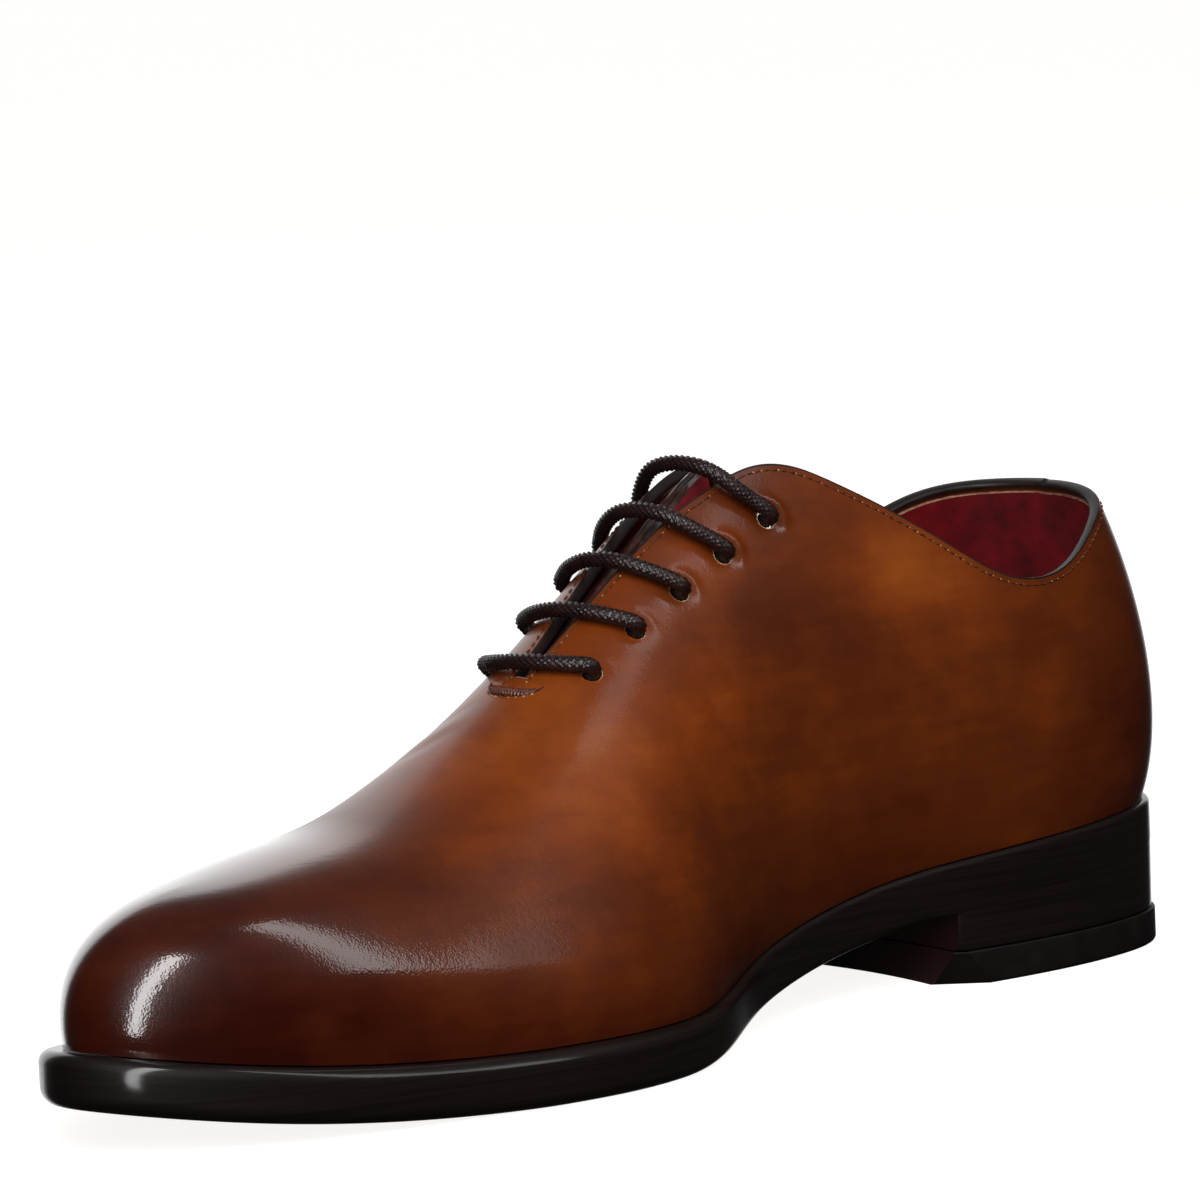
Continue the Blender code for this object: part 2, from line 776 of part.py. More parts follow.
def make_lace(finish):
    route = np.array(lace_route())
    steps = np.linalg.norm(np.diff(route, axis=0), axis=1)
    knots = np.concatenate([[0], np.cumsum(np.sqrt(steps))])
    at = spline(knots, route)
    fine = np.array([at(place) for place in np.linspace(0, knots[-1], 1200)])
    travelled = np.concatenate([[0], np.cumsum(np.linalg.norm(np.diff(fine, axis=0), axis=1))])
    count = int(travelled[-1] / LACE_STEP)
    places = np.linspace(0, travelled[-1], count)
    curve = bpy.data.curves.new("lace", "CURVE")
    curve.dimensions = "3D"
    curve.bevel_depth = LACE / 2
    curve.bevel_resolution = 2
    curve.use_fill_caps = True
    line = curve.splines.new("POLY")
    line.points.add(count - 1)
    for point, place in zip(line.points, places):
        point.co = (*[np.interp(place, travelled, fine[:, axis]) for axis in range(3)], 1)
    curve.materials.append(finish)
    made = bpy.data.objects.new("lace", curve)
    bpy.context.scene.collection.objects.link(made)
    return made


def main():
    for old in list(bpy.data.objects):
        bpy.data.objects.remove(old)
    make_upper(material("tan calf", (0.24, 0.075, 0.018), 0.25))
    make_tongue(material("dark brown calf", (0.030, 0.010, 0.006), 0.3))
    make_insole(material("red suede sock", (0.13, 0.003, 0.007), 0.9))
    make_welt(material("black waxed welt", (0.006, 0.005, 0.005), 0.35))
    make_outsole(material("leather outsole", (0.010, 0.006, 0.006), 0.4))
    make_heel(
        material("stacked leather", (0.006, 0.005, 0.005), 0.35),
        material("rubber top piece", (0.008, 0.007, 0.007), 0.6),
    )
    make_lace(material("waxed cord", (0.012, 0.006, 0.004), 0.5))


main()
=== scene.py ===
# %% [markdown]
# # A whole cut oxford, step by step
# A whole cut is a shoe whose upper is one piece of calf leather, pulled over a last and sewn
# only at the edges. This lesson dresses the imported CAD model: every piece below is made
# again, finer, from the same named sizes, and then gets a finish that shows how the real one was
# worked. X runs to the toe, Y to the medial side and Z up, in metres.

import math
from collections import namedtuple

import bmesh
import bpy
import numpy as np
from mathutils import Matrix, Vector
from mathutils.bvhtree import BVHTree


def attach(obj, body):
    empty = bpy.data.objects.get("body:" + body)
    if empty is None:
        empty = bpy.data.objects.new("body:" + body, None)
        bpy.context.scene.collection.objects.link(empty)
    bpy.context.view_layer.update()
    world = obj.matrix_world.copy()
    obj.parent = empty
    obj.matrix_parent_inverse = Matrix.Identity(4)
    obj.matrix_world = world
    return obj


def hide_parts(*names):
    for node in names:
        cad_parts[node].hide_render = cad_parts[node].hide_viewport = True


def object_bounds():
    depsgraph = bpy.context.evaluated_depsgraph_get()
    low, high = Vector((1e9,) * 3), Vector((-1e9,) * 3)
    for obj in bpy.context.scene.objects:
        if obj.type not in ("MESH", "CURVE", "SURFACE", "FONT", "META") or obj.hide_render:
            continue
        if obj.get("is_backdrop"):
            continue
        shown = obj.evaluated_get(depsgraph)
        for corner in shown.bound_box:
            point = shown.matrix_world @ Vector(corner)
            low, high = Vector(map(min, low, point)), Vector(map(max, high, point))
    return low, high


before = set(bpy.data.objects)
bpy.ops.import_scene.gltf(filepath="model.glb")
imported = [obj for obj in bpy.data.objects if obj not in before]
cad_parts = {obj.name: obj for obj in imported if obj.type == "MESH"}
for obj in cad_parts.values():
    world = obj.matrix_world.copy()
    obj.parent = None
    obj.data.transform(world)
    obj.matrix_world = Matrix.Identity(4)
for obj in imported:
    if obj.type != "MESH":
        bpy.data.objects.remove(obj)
cad_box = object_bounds()
scene = bpy.context.scene
print("CAD box, mm:", [[round(1000 * value, 1) for value in corner] for corner in cad_box])

# %% [markdown]
# ## The camera
# A product photograph is taken from far away with a long lens, so that the shoe's lines stay
# nearly parallel. The camera stands 1.5 m off, 44 degrees round from the toe and 8 degrees up,
# and leans a little, because the photograph does. Two directions, back towards the camera and
# up in the picture, fix its turn.

# %% Camera
AIM = Vector((0.116, 0.0, 0.045))
CAMERA_AZIMUTH = math.radians(43.58)
CAMERA_HEIGHT = math.radians(8.223)
CAMERA_ROLL = math.radians(-2.693)
CAMERA_DISTANCE = 1.5
LENS = 227.98
FRAME_RIGHT, FRAME_UP = -0.00066, 0.0413

towards = Vector(
    (
        math.cos(CAMERA_AZIMUTH) * math.cos(CAMERA_HEIGHT),
        math.sin(CAMERA_AZIMUTH) * math.cos(CAMERA_HEIGHT),
        math.sin(CAMERA_HEIGHT),
    )
)
level = Vector((0, 0, 1)).cross(towards).normalized()
upward = towards.cross(level)
right = level * math.cos(CAMERA_ROLL) + upward * math.sin(CAMERA_ROLL)
upright = upward * math.cos(CAMERA_ROLL) - level * math.sin(CAMERA_ROLL)
stand = AIM + towards * CAMERA_DISTANCE
back = (stand - AIM - right * FRAME_RIGHT - upright * FRAME_UP).normalized()
across = upright.cross(back).normalized()
turn = Matrix((across, back.cross(across), back)).transposed()
camera = bpy.data.objects.new("camera", bpy.data.cameras.new("camera"))
camera.data.sensor_width = 36
camera.data.lens = LENS
camera.matrix_world = Matrix.Translation(stand) @ turn.to_4x4()
scene.collection.objects.link(camera)
scene.camera = camera
scene.view_settings.view_transform = "Standard"
print("camera stands at", [round(value, 3) for value in stand])

# %% [markdown]
# ## Colours and nodes
# Colours are written as the sRGB hex codes that a paint or picture program shows. Shaders
# count in linear light, so one function turns them. One more adds a node with its settings
# and its links, which keeps every material below short enough to read.

# %% Helpers for colours and nodes
def linear(code):
    """A hex colour as linear red, green, blue and alpha."""
    channels = [int(code[i : i + 2], 16) / 255 for i in (1, 3, 5)]
    turned = [c / 12.92 if c <= 0.04045 else ((c + 0.055) / 1.055) ** 2.4 for c in channels]
    return (*turned, 1.0)


def add_node(tree, kind, settings=None, links=None):
    """Adds one node, sets its properties and sockets, and links other sockets into it."""
    made = tree.nodes.new(kind)
    for name, value in (settings or {}).items():
        if isinstance(name, str) and hasattr(made, name):
            setattr(made, name, value)
        else:
            made.inputs[name].default_value = value
    for name, source in (links or {}).items():
        tree.links.new(source, made.inputs[name])
    return made


def start_material(name, **sockets):
    """A new material with one shader whose constant sockets are set by name."""
    made = bpy.data.materials.new(name)
    made.use_nodes = True
    tree = made.node_tree
    shader = tree.nodes["Principled BSDF"]
    for socket, value in sockets.items():
        shader.inputs[socket.replace("_", " ").title().replace("Ior", "IOR")].default_value = value
    return made, tree, shader


def ramp(tree, source, stops):
    """A colour ramp from (place, hex code) stops."""
    made = add_node(tree, "ShaderNodeValToRGB", links={"Fac": source})
    made.color_ramp.elements.remove(made.color_ramp.elements[1])
    for k, (place, code) in enumerate(stops):
        element = made.color_ramp.elements[0] if k == 0 else made.color_ramp.elements.new(place)
        element.position = place
        element.color = linear(code)
    return made.outputs["Color"]


def mottle(tree, shader, stops, **clouds):
    """Soft clouds of colour, from a noise in the piece's own metres."""
    spot = add_node(tree, "ShaderNodeTexCoord").outputs["Object"]
    cloud = add_node(tree, "ShaderNodeTexNoise", clouds, {"Vector": spot})
    tree.links.new(ramp(tree, cloud.outputs["Fac"], stops), shader.inputs["Base Color"])


def roughen(tree, shader, strength, height, **fibres):
    """A fine raised texture, so many metres high, from a noise in the piece's own metres."""
    spot = add_node(tree, "ShaderNodeTexCoord").outputs["Object"]
    fibre = add_node(tree, "ShaderNodeTexNoise", fibres, {"Vector": spot})
    settings = {"Strength": strength, "Distance": height}
    bump = add_node(tree, "ShaderNodeBump", settings, {"Height": fibre.outputs["Fac"]})
    tree.links.new(bump.outputs[0], shader.inputs["Normal"])


print("white is", linear("#ffffff"))

# %% [markdown]
# ## Floor and light
# The shoe stands on a plain white floor. Polished leather mirrors whatever stands round it, so
# its gloss is drawn by the shapes of the lamps. A tall narrow window beside the camera leans to the
# right and draws the streak on the toe. A small one on the right draws a second, shorter band, and
# the white wall behind the shoe lights the rims. Each window is given by the directions of
# its low and its high end, seen from the toe, in degrees. A wide fill lights the dye but isn't
# mirrored. The paper floor glows a little by itself, so it stays white far away, and it isn't
# shown to the leather, as if black cards lay round the shoe.

# %% Floor and light
Lamp = namedtuple("Lamp", "name low high distance width radiance mirrored")
LIT_FROM = Vector((0.235, 0.02, 0.03))
FLOOR_REACH = 30.0
FLOOR_GLOW = 0.90
ROOM_STRENGTH = 1.4
LAMPS = (
    Lamp("window by the camera", (27, -12), (54, 65), 1.6, 0.24, 13, True),
    Lamp("window on the right", (115, 29), (157, 70), 1.6, 0.22, 3.4, True),
    Lamp("fill behind a polariser", (75, 20), (85, 60), 1.6, 1.2, 2.5, False),
)

floor_mesh = bpy.data.meshes.new("floor")
corners = [(FLOOR_REACH * x, FLOOR_REACH * y, 0) for x, y in ((-1, -1), (1, -1), (1, 1), (-1, 1))]
floor_mesh.from_pydata(corners, [], [(0, 1, 2, 3)])
floor = bpy.data.objects.new("floor", floor_mesh)
floor.visible_glossy = False
floor.visible_diffuse = False
scene.collection.objects.link(floor)
paper, _, paper_shader = start_material(
    "matt paper floor", roughness=0.9, emission_strength=FLOOR_GLOW
)
paper_shader.inputs["Base Color"].default_value = linear("#b8b6b4")
paper_shader.inputs["Emission Color"].default_value = linear("#fffdfb")
floor_mesh.materials.append(paper)
floor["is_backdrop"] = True


def direction(azimuth, elevation):
    azimuth, elevation = math.radians(azimuth), math.radians(elevation)
    flat = math.cos(elevation)
    return Vector((math.cos(azimuth) * flat, math.sin(azimuth) * flat, math.sin(elevation)))


for lamp in LAMPS:
    low, high = direction(*lamp.low), direction(*lamp.high)
    away, along = (low + high).normalized(), (high - low).normalized()
    light = bpy.data.lights.new(lamp.name, "AREA")
    light.shape = "RECTANGLE"
    light.size = lamp.width
    light.size_y = 2 * lamp.distance * math.tan(low.angle(high) / 2)
    light.energy = lamp.radiance * math.pi * light.size * light.size_y
    holder = bpy.data.objects.new(lamp.name, light)
    holder.visible_camera = False
    holder.visible_glossy = lamp.mirrored
    turn = Matrix((along.cross(away), along, away)).transposed()
    holder.matrix_world = Matrix.Translation(LIT_FROM + away * lamp.distance) @ turn.to_4x4()
    scene.collection.objects.link(holder)

world = bpy.data.worlds.new("dark room with a white wall")
scene.world = world
world.use_nodes = True
room = world.node_tree
ray = add_node(room, "ShaderNodeTexCoord").outputs["Generated"]
wall = add_node(room, "ShaderNodeVectorMath", {"operation": "DOT_PRODUCT", 1: direction(-128, 9)}, {0: ray})
wall_light = ramp(
    room, wall.outputs["Value"], ((0.0, "#000000"), (0.77, "#080808"), (0.83, "#7c7c7c"), (0.88, "#ffffff"))
)
height = add_node(room, "ShaderNodeSeparateXYZ", links={0: ray}).outputs["Z"]
dome_light = ramp(room, height, ((0.0, "#1b1b1b"), (0.6, "#242424"), (0.95, "#3e3e3e")))
room_light = add_node(room, "ShaderNodeVectorMath", {"operation": "ADD"}, {0: wall_light, 1: dome_light})
room.links.new(room_light.outputs[0], room.nodes["Background"].inputs["Color"])
room.nodes["Background"].inputs["Strength"].default_value = ROOM_STRENGTH
print("windows:", [(lamp.name, round(bpy.data.lights[lamp.name].size_y, 2)) for lamp in LAMPS])

# %% [markdown]
# ## The last
# A last is the wooden or plastic foot that a shoe is built on, and it gives the shoe its
# shape. Here it is a table of sections. Each one says how far the sole reaches to each side,
# how the wall swells above it and how broad the crown is. Splines join the
# sections, so one point of the surface needs only a run round the outline, a side and
# a share of the way up. The functions work on whole arrays of points, which is
# what makes a fine mesh quick.

# %% Sizes of the shoe
SHOE_LENGTH = 0.297
BALL_WIDTH = 0.1007
HEEL_CENTRE = 0.034
SEAT_HEIGHT = 0.0309
BREAST_RISE = 0.0155
TOE_SPRING = 0.0093
HEEL_EDGE = 0.0086
FORE_EDGE = 0.0106
WELT_THICKNESS = 0.0044
TOP_PIECE = 0.0072
TOP_PIECE_PROUD = 0.0007
BREAST_SLANT, BREAST_HOLLOW = 0.0085, 0.0026
CORNER_CUT, CORNER_RISE, CORNER_LEFT = 0.0078, 0.0092, 0.0005
BREAST, FLAT_BACK, FLAT_FRONT = 0.257, 0.602, 0.708
WALL = 0.0023
INSTEP_RISE = 0.088
BACK_RISE = 0.0658
SWELL = 0.010
LEDGE = 0.0046
THROAT, FACING_TOP = 0.582, 0.378
HALF_GAP_BOTTOM, HALF_GAP_TOP_MEDIAL, HALF_GAP_TOP_LATERAL = 0.0011, 0.0068, 0.0092
FACING_CORNER, THROAT_PAST_TOP = 0.0040, 0.030
CLEAR = 0.0003

Section = namedtuple("Section", "station spine lean medial lateral swell full crown ledge")
SECTIONS = (
    Section(0.000, 0.113, 0.000, 0.000, 0.000, 0.98, 0.31, 0.63, 0.33),
    Section(0.030, 0.119, 0.000, 0.228, 0.226, 1.14, 0.32, 0.63, 0.33),
    Section(0.113, 0.140, 0.010, 0.317, 0.325, 0.80, 0.30, 0.62, 0.26),
    Section(0.250, 0.250, 0.036, 0.283, 0.340, 0.86, 0.28, 0.50, 0.22),
    Section(0.365, 0.365, 0.039, 0.234, 0.367, 0.98, 0.30, 0.50, 0.13),
    Section(0.465, 0.465, 0.034, 0.291, 0.425, 0.80, 0.31, 0.48, 0.22),
    Section(0.556, 0.556, 0.028, 0.432, 0.490, 0.50, 0.33, 0.49, 0.48),
    Section(0.656, 0.656, 0.018, 0.489, 0.511, 0.34, 0.41, 0.53, 0.78),
    Section(0.762, 0.762, 0.008, 0.429, 0.462, 0.30, 0.50, 0.58, 0.91),
    Section(0.861, 0.845, 0.000, 0.350, 0.366, 0.31, 0.61, 0.63, 0.96),
    Section(0.950, 0.882, 0.000, 0.220, 0.217, 0.30, 0.62, 0.64, 1.00),
    Section(1.000, 0.890, 0.000, 0.000, 0.000, 0.28, 0.62, 0.64, 1.00),
)
# Station and height of the ridge over the sole, as a share of the instep rise
RIDGE = np.array(
    [
        (0.10, 1.07),
        (0.20, 1.12),
        (0.29, 1.115),
        (0.36, 1.070),
        (0.45, 0.944),
        (0.586, 0.680),
        (0.70, 0.505),
        (0.80, 0.434),
        (0.90, 0.355),
    ]
)
# Station and height of the topline on the medial and the lateral side
TOPLINE = np.array(
    [
        (0.030, 0.00, 0.00),
        (0.080, -0.27, -0.02),
        (0.120, -0.53, -0.14),
        (0.150, -0.60, -0.28),
        (0.190, -0.46, -0.36),
        (0.228, -0.10, -0.18),
        (0.266, 0.28, 0.16),
        (0.300, 0.60, 0.50),
        (0.340, 0.94, 0.90),
        (0.365, 1.05, 1.02),
        (0.400, 1.02, 1.00),
    ]
)


# %% Splines and heights
def station_x(station):
    return station * SHOE_LENGTH - HEEL_CENTRE


def smooth_step(share):
    share = np.clip(share, 0.0, 1.0)
    return share * share * (3 - 2 * share)


def spline(knots, values):
    """A smooth curve through values at knots, free at both ends, for one place or for many."""
    count = len(knots)
    gap = np.diff(knots)
    rows = np.eye(count)
    wanted = np.zeros((count, values.shape[1]))
    for i in range(1, count - 1):
        rows[i, i - 1 : i + 2] = gap[i - 1], 2 * (gap[i - 1] + gap[i]), gap[i]
        wanted[i] = 6 * ((values[i + 1] - values[i]) / gap[i] - (values[i] - values[i - 1]) / gap[i - 1])
    bend = np.linalg.solve(rows, wanted)

    def at(place):
        place = np.asarray(place, float)
        i = np.clip(np.searchsorted(knots, place) - 1, 0, count - 2)
        after, before = (place - knots[i])[..., None], (knots[i + 1] - place)[..., None]
        width = gap[i][..., None]
        curve = (bend[i] * before**3 + bend[i + 1] * after**3) / (6 * width)
        start = values[i] / width - bend[i] * width / 6
        end = values[i + 1] / width - bend[i + 1] * width / 6
        return curve + start * before + end * after

    return at


def section_row(section, side):
    reach = section.medial if side > 0 else section.lateral
    return (
        station_x(section.station),
        side * reach * BALL_WIDTH,
        station_x(section.spine),
        -section.lean * BALL_WIDTH,
        section.swell * SWELL,
        section.full,
        section.crown,
        section.ledge * LEDGE,
    )


medial_rows = np.array([section_row(section, 1) for section in SECTIONS])
lateral_rows = np.array([section_row(section, -1) for section in SECTIONS])
steps = np.linalg.norm(np.diff(medial_rows[:, :2], axis=0), axis=1)
steps = (steps + np.linalg.norm(np.diff(lateral_rows[:, :2], axis=0), axis=1)) / 2
section_runs = np.concatenate([[0.0], np.cumsum(steps)])
RUN = section_runs[-1]
ring_knots = np.concatenate([section_runs, 2 * RUN - section_runs[-2:0:-1]])
ring_values = np.concatenate([medial_rows, lateral_rows[-2:0:-1]])
wide_knots = np.concatenate([ring_knots[-4:] - 2 * RUN, ring_knots, ring_knots[:4] + 2 * RUN])
wide_ring = spline(wide_knots, np.concatenate([ring_values[-4:], ring_values, ring_values[:4]]))
ridge_at = spline(station_x(RIDGE[:, 0]), RIDGE[:, 1:] * INSTEP_RISE)
topline_at = spline(station_x(TOPLINE[:, 0]), TOPLINE[:, 1:])
BREAST_X, FLAT_BACK_X = station_x(BREAST), station_x(FLAT_BACK)
FLAT_FRONT_X, TOE_X = station_x(FLAT_FRONT), station_x(1)


def ring_at(place):
    return wide_ring(np.asarray(place) % (2 * RUN))


def tread_z(x):
    """The underside of the outsole: heel seat, arch, flat tread and toe spring."""
    back = SEAT_HEIGHT - HEEL_EDGE
    seat = (x - station_x(0)) / (BREAST_X - station_x(0))
    arch = np.clip((FLAT_BACK_X - x) / (FLAT_BACK_X - BREAST_X), 0, 1)
    spring = np.clip((x - FLAT_FRONT_X) / (TOE_X - FLAT_FRONT_X), 0, None)
    under_heel = back + (BREAST_RISE - back) * (0.8 * seat + 0.2 * seat * seat)
    under_arch = BREAST_RISE * (0.62 * smooth_step(arch) + 0.38 * arch**1.7)
    return np.where(x <= BREAST_X, under_heel, under_arch + TOE_SPRING * spring**1.9)


def seat_z(x):
    """The top of the welt, which the upper stands on."""
    waist = smooth_step((x - station_x(0)) / (station_x(0.35) - station_x(0)))
    return tread_z(x) + HEEL_EDGE + (FORE_EDGE - HEEL_EDGE) * waist


print("length round one side of the sole, mm:", round(1000 * RUN, 1))


# %% The last's surface
def sole_edge(run, side, inset=0.0):
    """Points on the sole's outline in plan, moved in by inset."""
    place = np.where(np.asarray(side) > 0, run, 2 * RUN - np.asarray(run))
    step = 0.0002
    spot = ring_at(place)[..., :2]
    along = ring_at(place + step)[..., :2] - ring_at(place - step)[..., :2]
    along = along / np.linalg.norm(along, axis=-1, keepdims=True)
    inward = np.stack([along[..., 1], -along[..., 0]], axis=-1)
    return spot + inward * np.asarray(inset)[..., None]


def meridian(run, side):
    """The four handles of each section: feather edge, fullest part, crown and ridge."""
    run, side = np.broadcast_arrays(np.asarray(run, float), side)
    row = ring_at(np.where(side > 0, run, 2 * RUN - run))
    spine, swell, full, crown = row[..., 2:4], row[..., 4:5], row[..., 5], row[..., 6:7]
    foot = sole_edge(run, side, row[..., 7])
    base = seat_z(foot[..., 0]) + CLEAR
    step = 0.0005
    spine_x = spine[..., 0]
    top = seat_z(spine_x) + ridge_at(spine_x)[..., 0]
    ahead = seat_z(spine_x + step) + ridge_at(spine_x + step)[..., 0]
    out = foot - spine
    bulge = foot + out / np.linalg.norm(out, axis=-1, keepdims=True) * swell
    shoulder = spine + out * crown
    level = top + (ahead - top) / step * (shoulder[..., 0] - spine_x)
    plans = np.stack([foot, bulge, shoulder, spine], axis=-2)
    heights = np.stack([base, base + (top - base) * full, level, top], axis=-1)
    return np.concatenate([plans, heights[..., None]], axis=-1)


def along_meridian(handles, share):
    share = np.asarray(share)[..., None]
    rest = 1 - share
    weights = (rest**3, 3 * rest * rest * share, 3 * rest * share * share, share**3)
    return sum(weight * handles[..., k, :] for k, weight in enumerate(weights))


def last_point(run, side, share):
    return along_meridian(meridian(run, side), share)


def last_normal(run, side, share):
    step = 0.002
    share = np.clip(share, step, 1 - step)
    up = last_point(run, side, share + step) - last_point(run, side, share - step)
    forward = last_point(run + 0.0005, side, share) - last_point(run - 0.0005, side, share)
    out = np.cross(up, forward) * np.asarray(side)[..., None]
    return out / np.linalg.norm(out, axis=-1, keepdims=True)


def halve(low, high, is_low, shape=()):
    """Finds where is_low turns from true to false, by halving."""
    low, high = np.full(shape, low, float), np.full(shape, high, float)
    for _ in range(40):
        middle = (low + high) / 2
        below = is_low(middle)
        low, high = np.where(below, middle, low), np.where(below, high, middle)
    return (low + high) / 2


def run_at(x, column=0):
    """The run whose foot (column 0) or spine (column 2) is at x."""
    return halve(0, RUN, lambda run: ring_at(run)[..., column] < x, np.shape(x))


def share_beside(handles, spread, lowest=0.3):
    """How far up a meridian the point lies that is spread away from the ridge, in plan."""
    beyond = lambda share: np.abs(along_meridian(handles, share)[..., 1] - handles[..., 3, 1]) > spread
    return halve(lowest, 1, beyond, handles.shape[:-2])


def throat_share(x):
    """How far up the throat x is: 0 at its bottom, 1 at the top of the facings."""
    return np.clip((station_x(THROAT) - x) / (station_x(THROAT) - station_x(FACING_TOP)), 0, None)


def half_gap(x, side):
    top = np.where(np.asarray(side) > 0, HALF_GAP_TOP_MEDIAL, HALF_GAP_TOP_LATERAL)
    return HALF_GAP_BOTTOM + (top - HALF_GAP_BOTTOM) * throat_share(x) ** 1.35


THROAT_RUN = float(run_at(station_x(THROAT), 2))
print("throat's bottom at x, mm:", round(1000 * station_x(THROAT), 1))

# %% [markdown]
# ## The upper
# The real upper is calf about 1.3 mm thick with a suede lining behind it. It is a closed shell:
# a fine outer face, a coarser inner one, and a rim that joins them. The mesh is
# a grid of columns, which climb from the sole to the opening, and rows. The columns
# stand closer together at the lacing, where the leather has its creases.

# %% Columns and the opening
SIDE_COLUMNS = 300
LEATHER = 0.00135
FINE_FROM, FINE_TO = 0.050, 0.155
FINE_GAIN = 0.75


def column_runs():
    """Runs from heel to toe, closer together at the lacing, with one at the throat's bottom."""
    places = np.linspace(0, RUN, 2000)
    x = ring_at(places)[:, 0]
    edge = 0.02
    fine = smooth_step((x - FINE_FROM + edge) / edge) * smooth_step((FINE_TO + edge - x) / edge)
    filled = np.concatenate([[0], np.cumsum(1 + FINE_GAIN * (fine[1:] + fine[:-1]) / 2)])
    runs = np.interp(np.linspace(0, filled[-1], SIDE_COLUMNS + 1), filled, places)
    nearest = np.argmin(np.abs(runs - THROAT_RUN))
    runs[nearest] = THROAT_RUN
    return runs


RUNS = column_runs()
ring_run = np.concatenate([RUNS, RUNS[-2:0:-1]])
ring_side = np.where(np.arange(len(ring_run)) <= SIDE_COLUMNS, 1, -1)
ring_handles = meridian(ring_run, ring_side)
in_vamp = ring_run >= THROAT_RUN - 1e-9


def over_opening(share):
    """True where a point up its meridian is still leather: under the topline and out of the throat."""
    point = along_meridian(ring_handles, share)
    x, y, z = point[..., 0], point[..., 1], point[..., 2]
    climb = topline_at(x)
    climb = np.where(ring_side > 0, climb[..., 0], climb[..., 1])
    top = seat_z(x) + BACK_RISE + climb * (INSTEP_RISE - BACK_RISE)
    above = np.clip(z - top + FACING_CORNER, 0, None)
    between = np.clip(half_gap(x, ring_side) - np.abs(y - ring_handles[..., 3, 1]) + FACING_CORNER, 0, None)
    between = np.where(x < station_x(FACING_TOP) - THROAT_PAST_TOP, 0, between)
    return np.hypot(above, between) <= FACING_CORNER


ring_end = halve(0.2, 1, over_opening, ring_run.shape)
ring_end[in_vamp] = 1.0
print("columns round the upper:", len(ring_run))


def back_from(end, distance):
    """The share that lies a distance back down each meridian from the share end."""
    tip = along_meridian(ring_handles, end)
    far = lambda share: np.linalg.norm(along_meridian(ring_handles, share) - tip, axis=-1) > distance
    return halve(0.1, 1, lambda share: far(share) & (share < end), end.shape)


# %% Objects from points and faces
def publish(name, mesh, finishes, smooth=True):
    """Puts a mesh in the scene as a named piece with its materials."""
    for finish in finishes:
        mesh.materials.append(finish)
    if smooth:
        mesh.shade_smooth()
    made = bpy.data.objects.new(name, mesh)
    scene.collection.objects.link(made)
    return made


def mesh_from(name, points, faces, slots=None):
    mesh = bpy.data.meshes.new(name)
    mesh.from_pydata([tuple(point) for point in points], [], faces)
    if slots is not None:
        mesh.polygons.foreach_set("material_index", slots)
    mesh.update()
    return mesh


def face_outward(mesh):
    """Turns every face of a closed mesh to its outside."""
    shape = bmesh.new()
    shape.from_mesh(mesh)
    bmesh.ops.recalc_face_normals(shape, faces=shape.faces)
    shape.to_mesh(mesh)
    shape.free()


def grid_faces(index, closed=True, flip=False):
    """Quads over a grid of point numbers, columns by rows. A corner that is used twice is dropped."""
    count = len(index)
    faces = []
    for i in range(count if closed else count - 1):
        j = (i + 1) % count
        for row in range(index.shape[1] - 1):
            face = [index[i, row], index[j, row], index[j, row + 1], index[i, row + 1]]
            face = [int(p) for k, p in enumerate(face) if p != face[k - 1]]
            if len(face) > 2:
                faces.append(face[::-1] if flip else face)
    return faces


def plate_faces(front):
    """The faces of a thin plate: a front grid of points, the same grid behind it, and the edge."""
    faces = grid_faces(front, closed=False) + grid_faces(front + front.size, closed=False, flip=True)
    border = list(front[0, :-1]) + list(front[:-1, -1]) + list(front[-1, :0:-1]) + list(front[:0:-1, 0])
    for a, b in zip(border, border[1:] + border[:1]):
        faces.append([int(a), int(b), int(b) + front.size, int(a) + front.size])
    return faces


def compact(points, faces):
    """Drops the points that no face uses."""
    used = np.unique(np.concatenate([np.asarray(face) for face in faces]))
    number = {int(old): new for new, old in enumerate(used)}
    return points[used], [[number[p] for p in face] for face in faces], used


print("helpers ready")

# %% [markdown]
# ## Creases and puckers
# Leather that has been laced and worn doesn't stay smooth. The lace pulls its eyelets towards the
# throat, so the leather behind the upper ones stands up in small crescents, and
# fine folds run back from them. These are main shapes, so they are real relief
# in the mesh. Each one is given: x along the ridge, then how far down from the
# middle of the throat, in millimetres.

# %% The eyelets' places
EYELETS = 5
EYELET_START = 0.0115
EYELET_PITCH = 0.0130
MEDIAL_SPREAD_BOTTOM, MEDIAL_SPREAD_TOP = 0.0123, 0.0139
LATERAL_SPREAD_BOTTOM, LATERAL_SPREAD_TOP = 0.0136, 0.0188
EYELET_HOLE = 0.0044


def eyelet_spread(x, side):
    bottom = np.where(np.asarray(side) > 0, MEDIAL_SPREAD_BOTTOM, LATERAL_SPREAD_BOTTOM)
    top = np.where(np.asarray(side) > 0, MEDIAL_SPREAD_TOP, LATERAL_SPREAD_TOP)
    return bottom + (top - bottom) * throat_share(x)


def beside(x, side, spread, depth=0.0):
    """A point of the last beside the ridge at x, sunk by depth."""
    run = run_at(x, 2)
    share = share_beside(meridian(run, side), spread)
    return last_point(run, side, share) - last_normal(run, side, share) * depth


def ridge_normal(x):
    """Square to the last's ridge at x, in the plane of the shoe's length."""
    step = 0.001
    rise = (seat_z(x + step) + ridge_at(x + step)[..., 0]) - (seat_z(x - step) + ridge_at(x - step)[..., 0])
    out = np.stack([-rise, np.zeros_like(rise), np.full_like(rise, 2 * step)], axis=-1)
    return out / np.linalg.norm(out, axis=-1, keepdims=True)


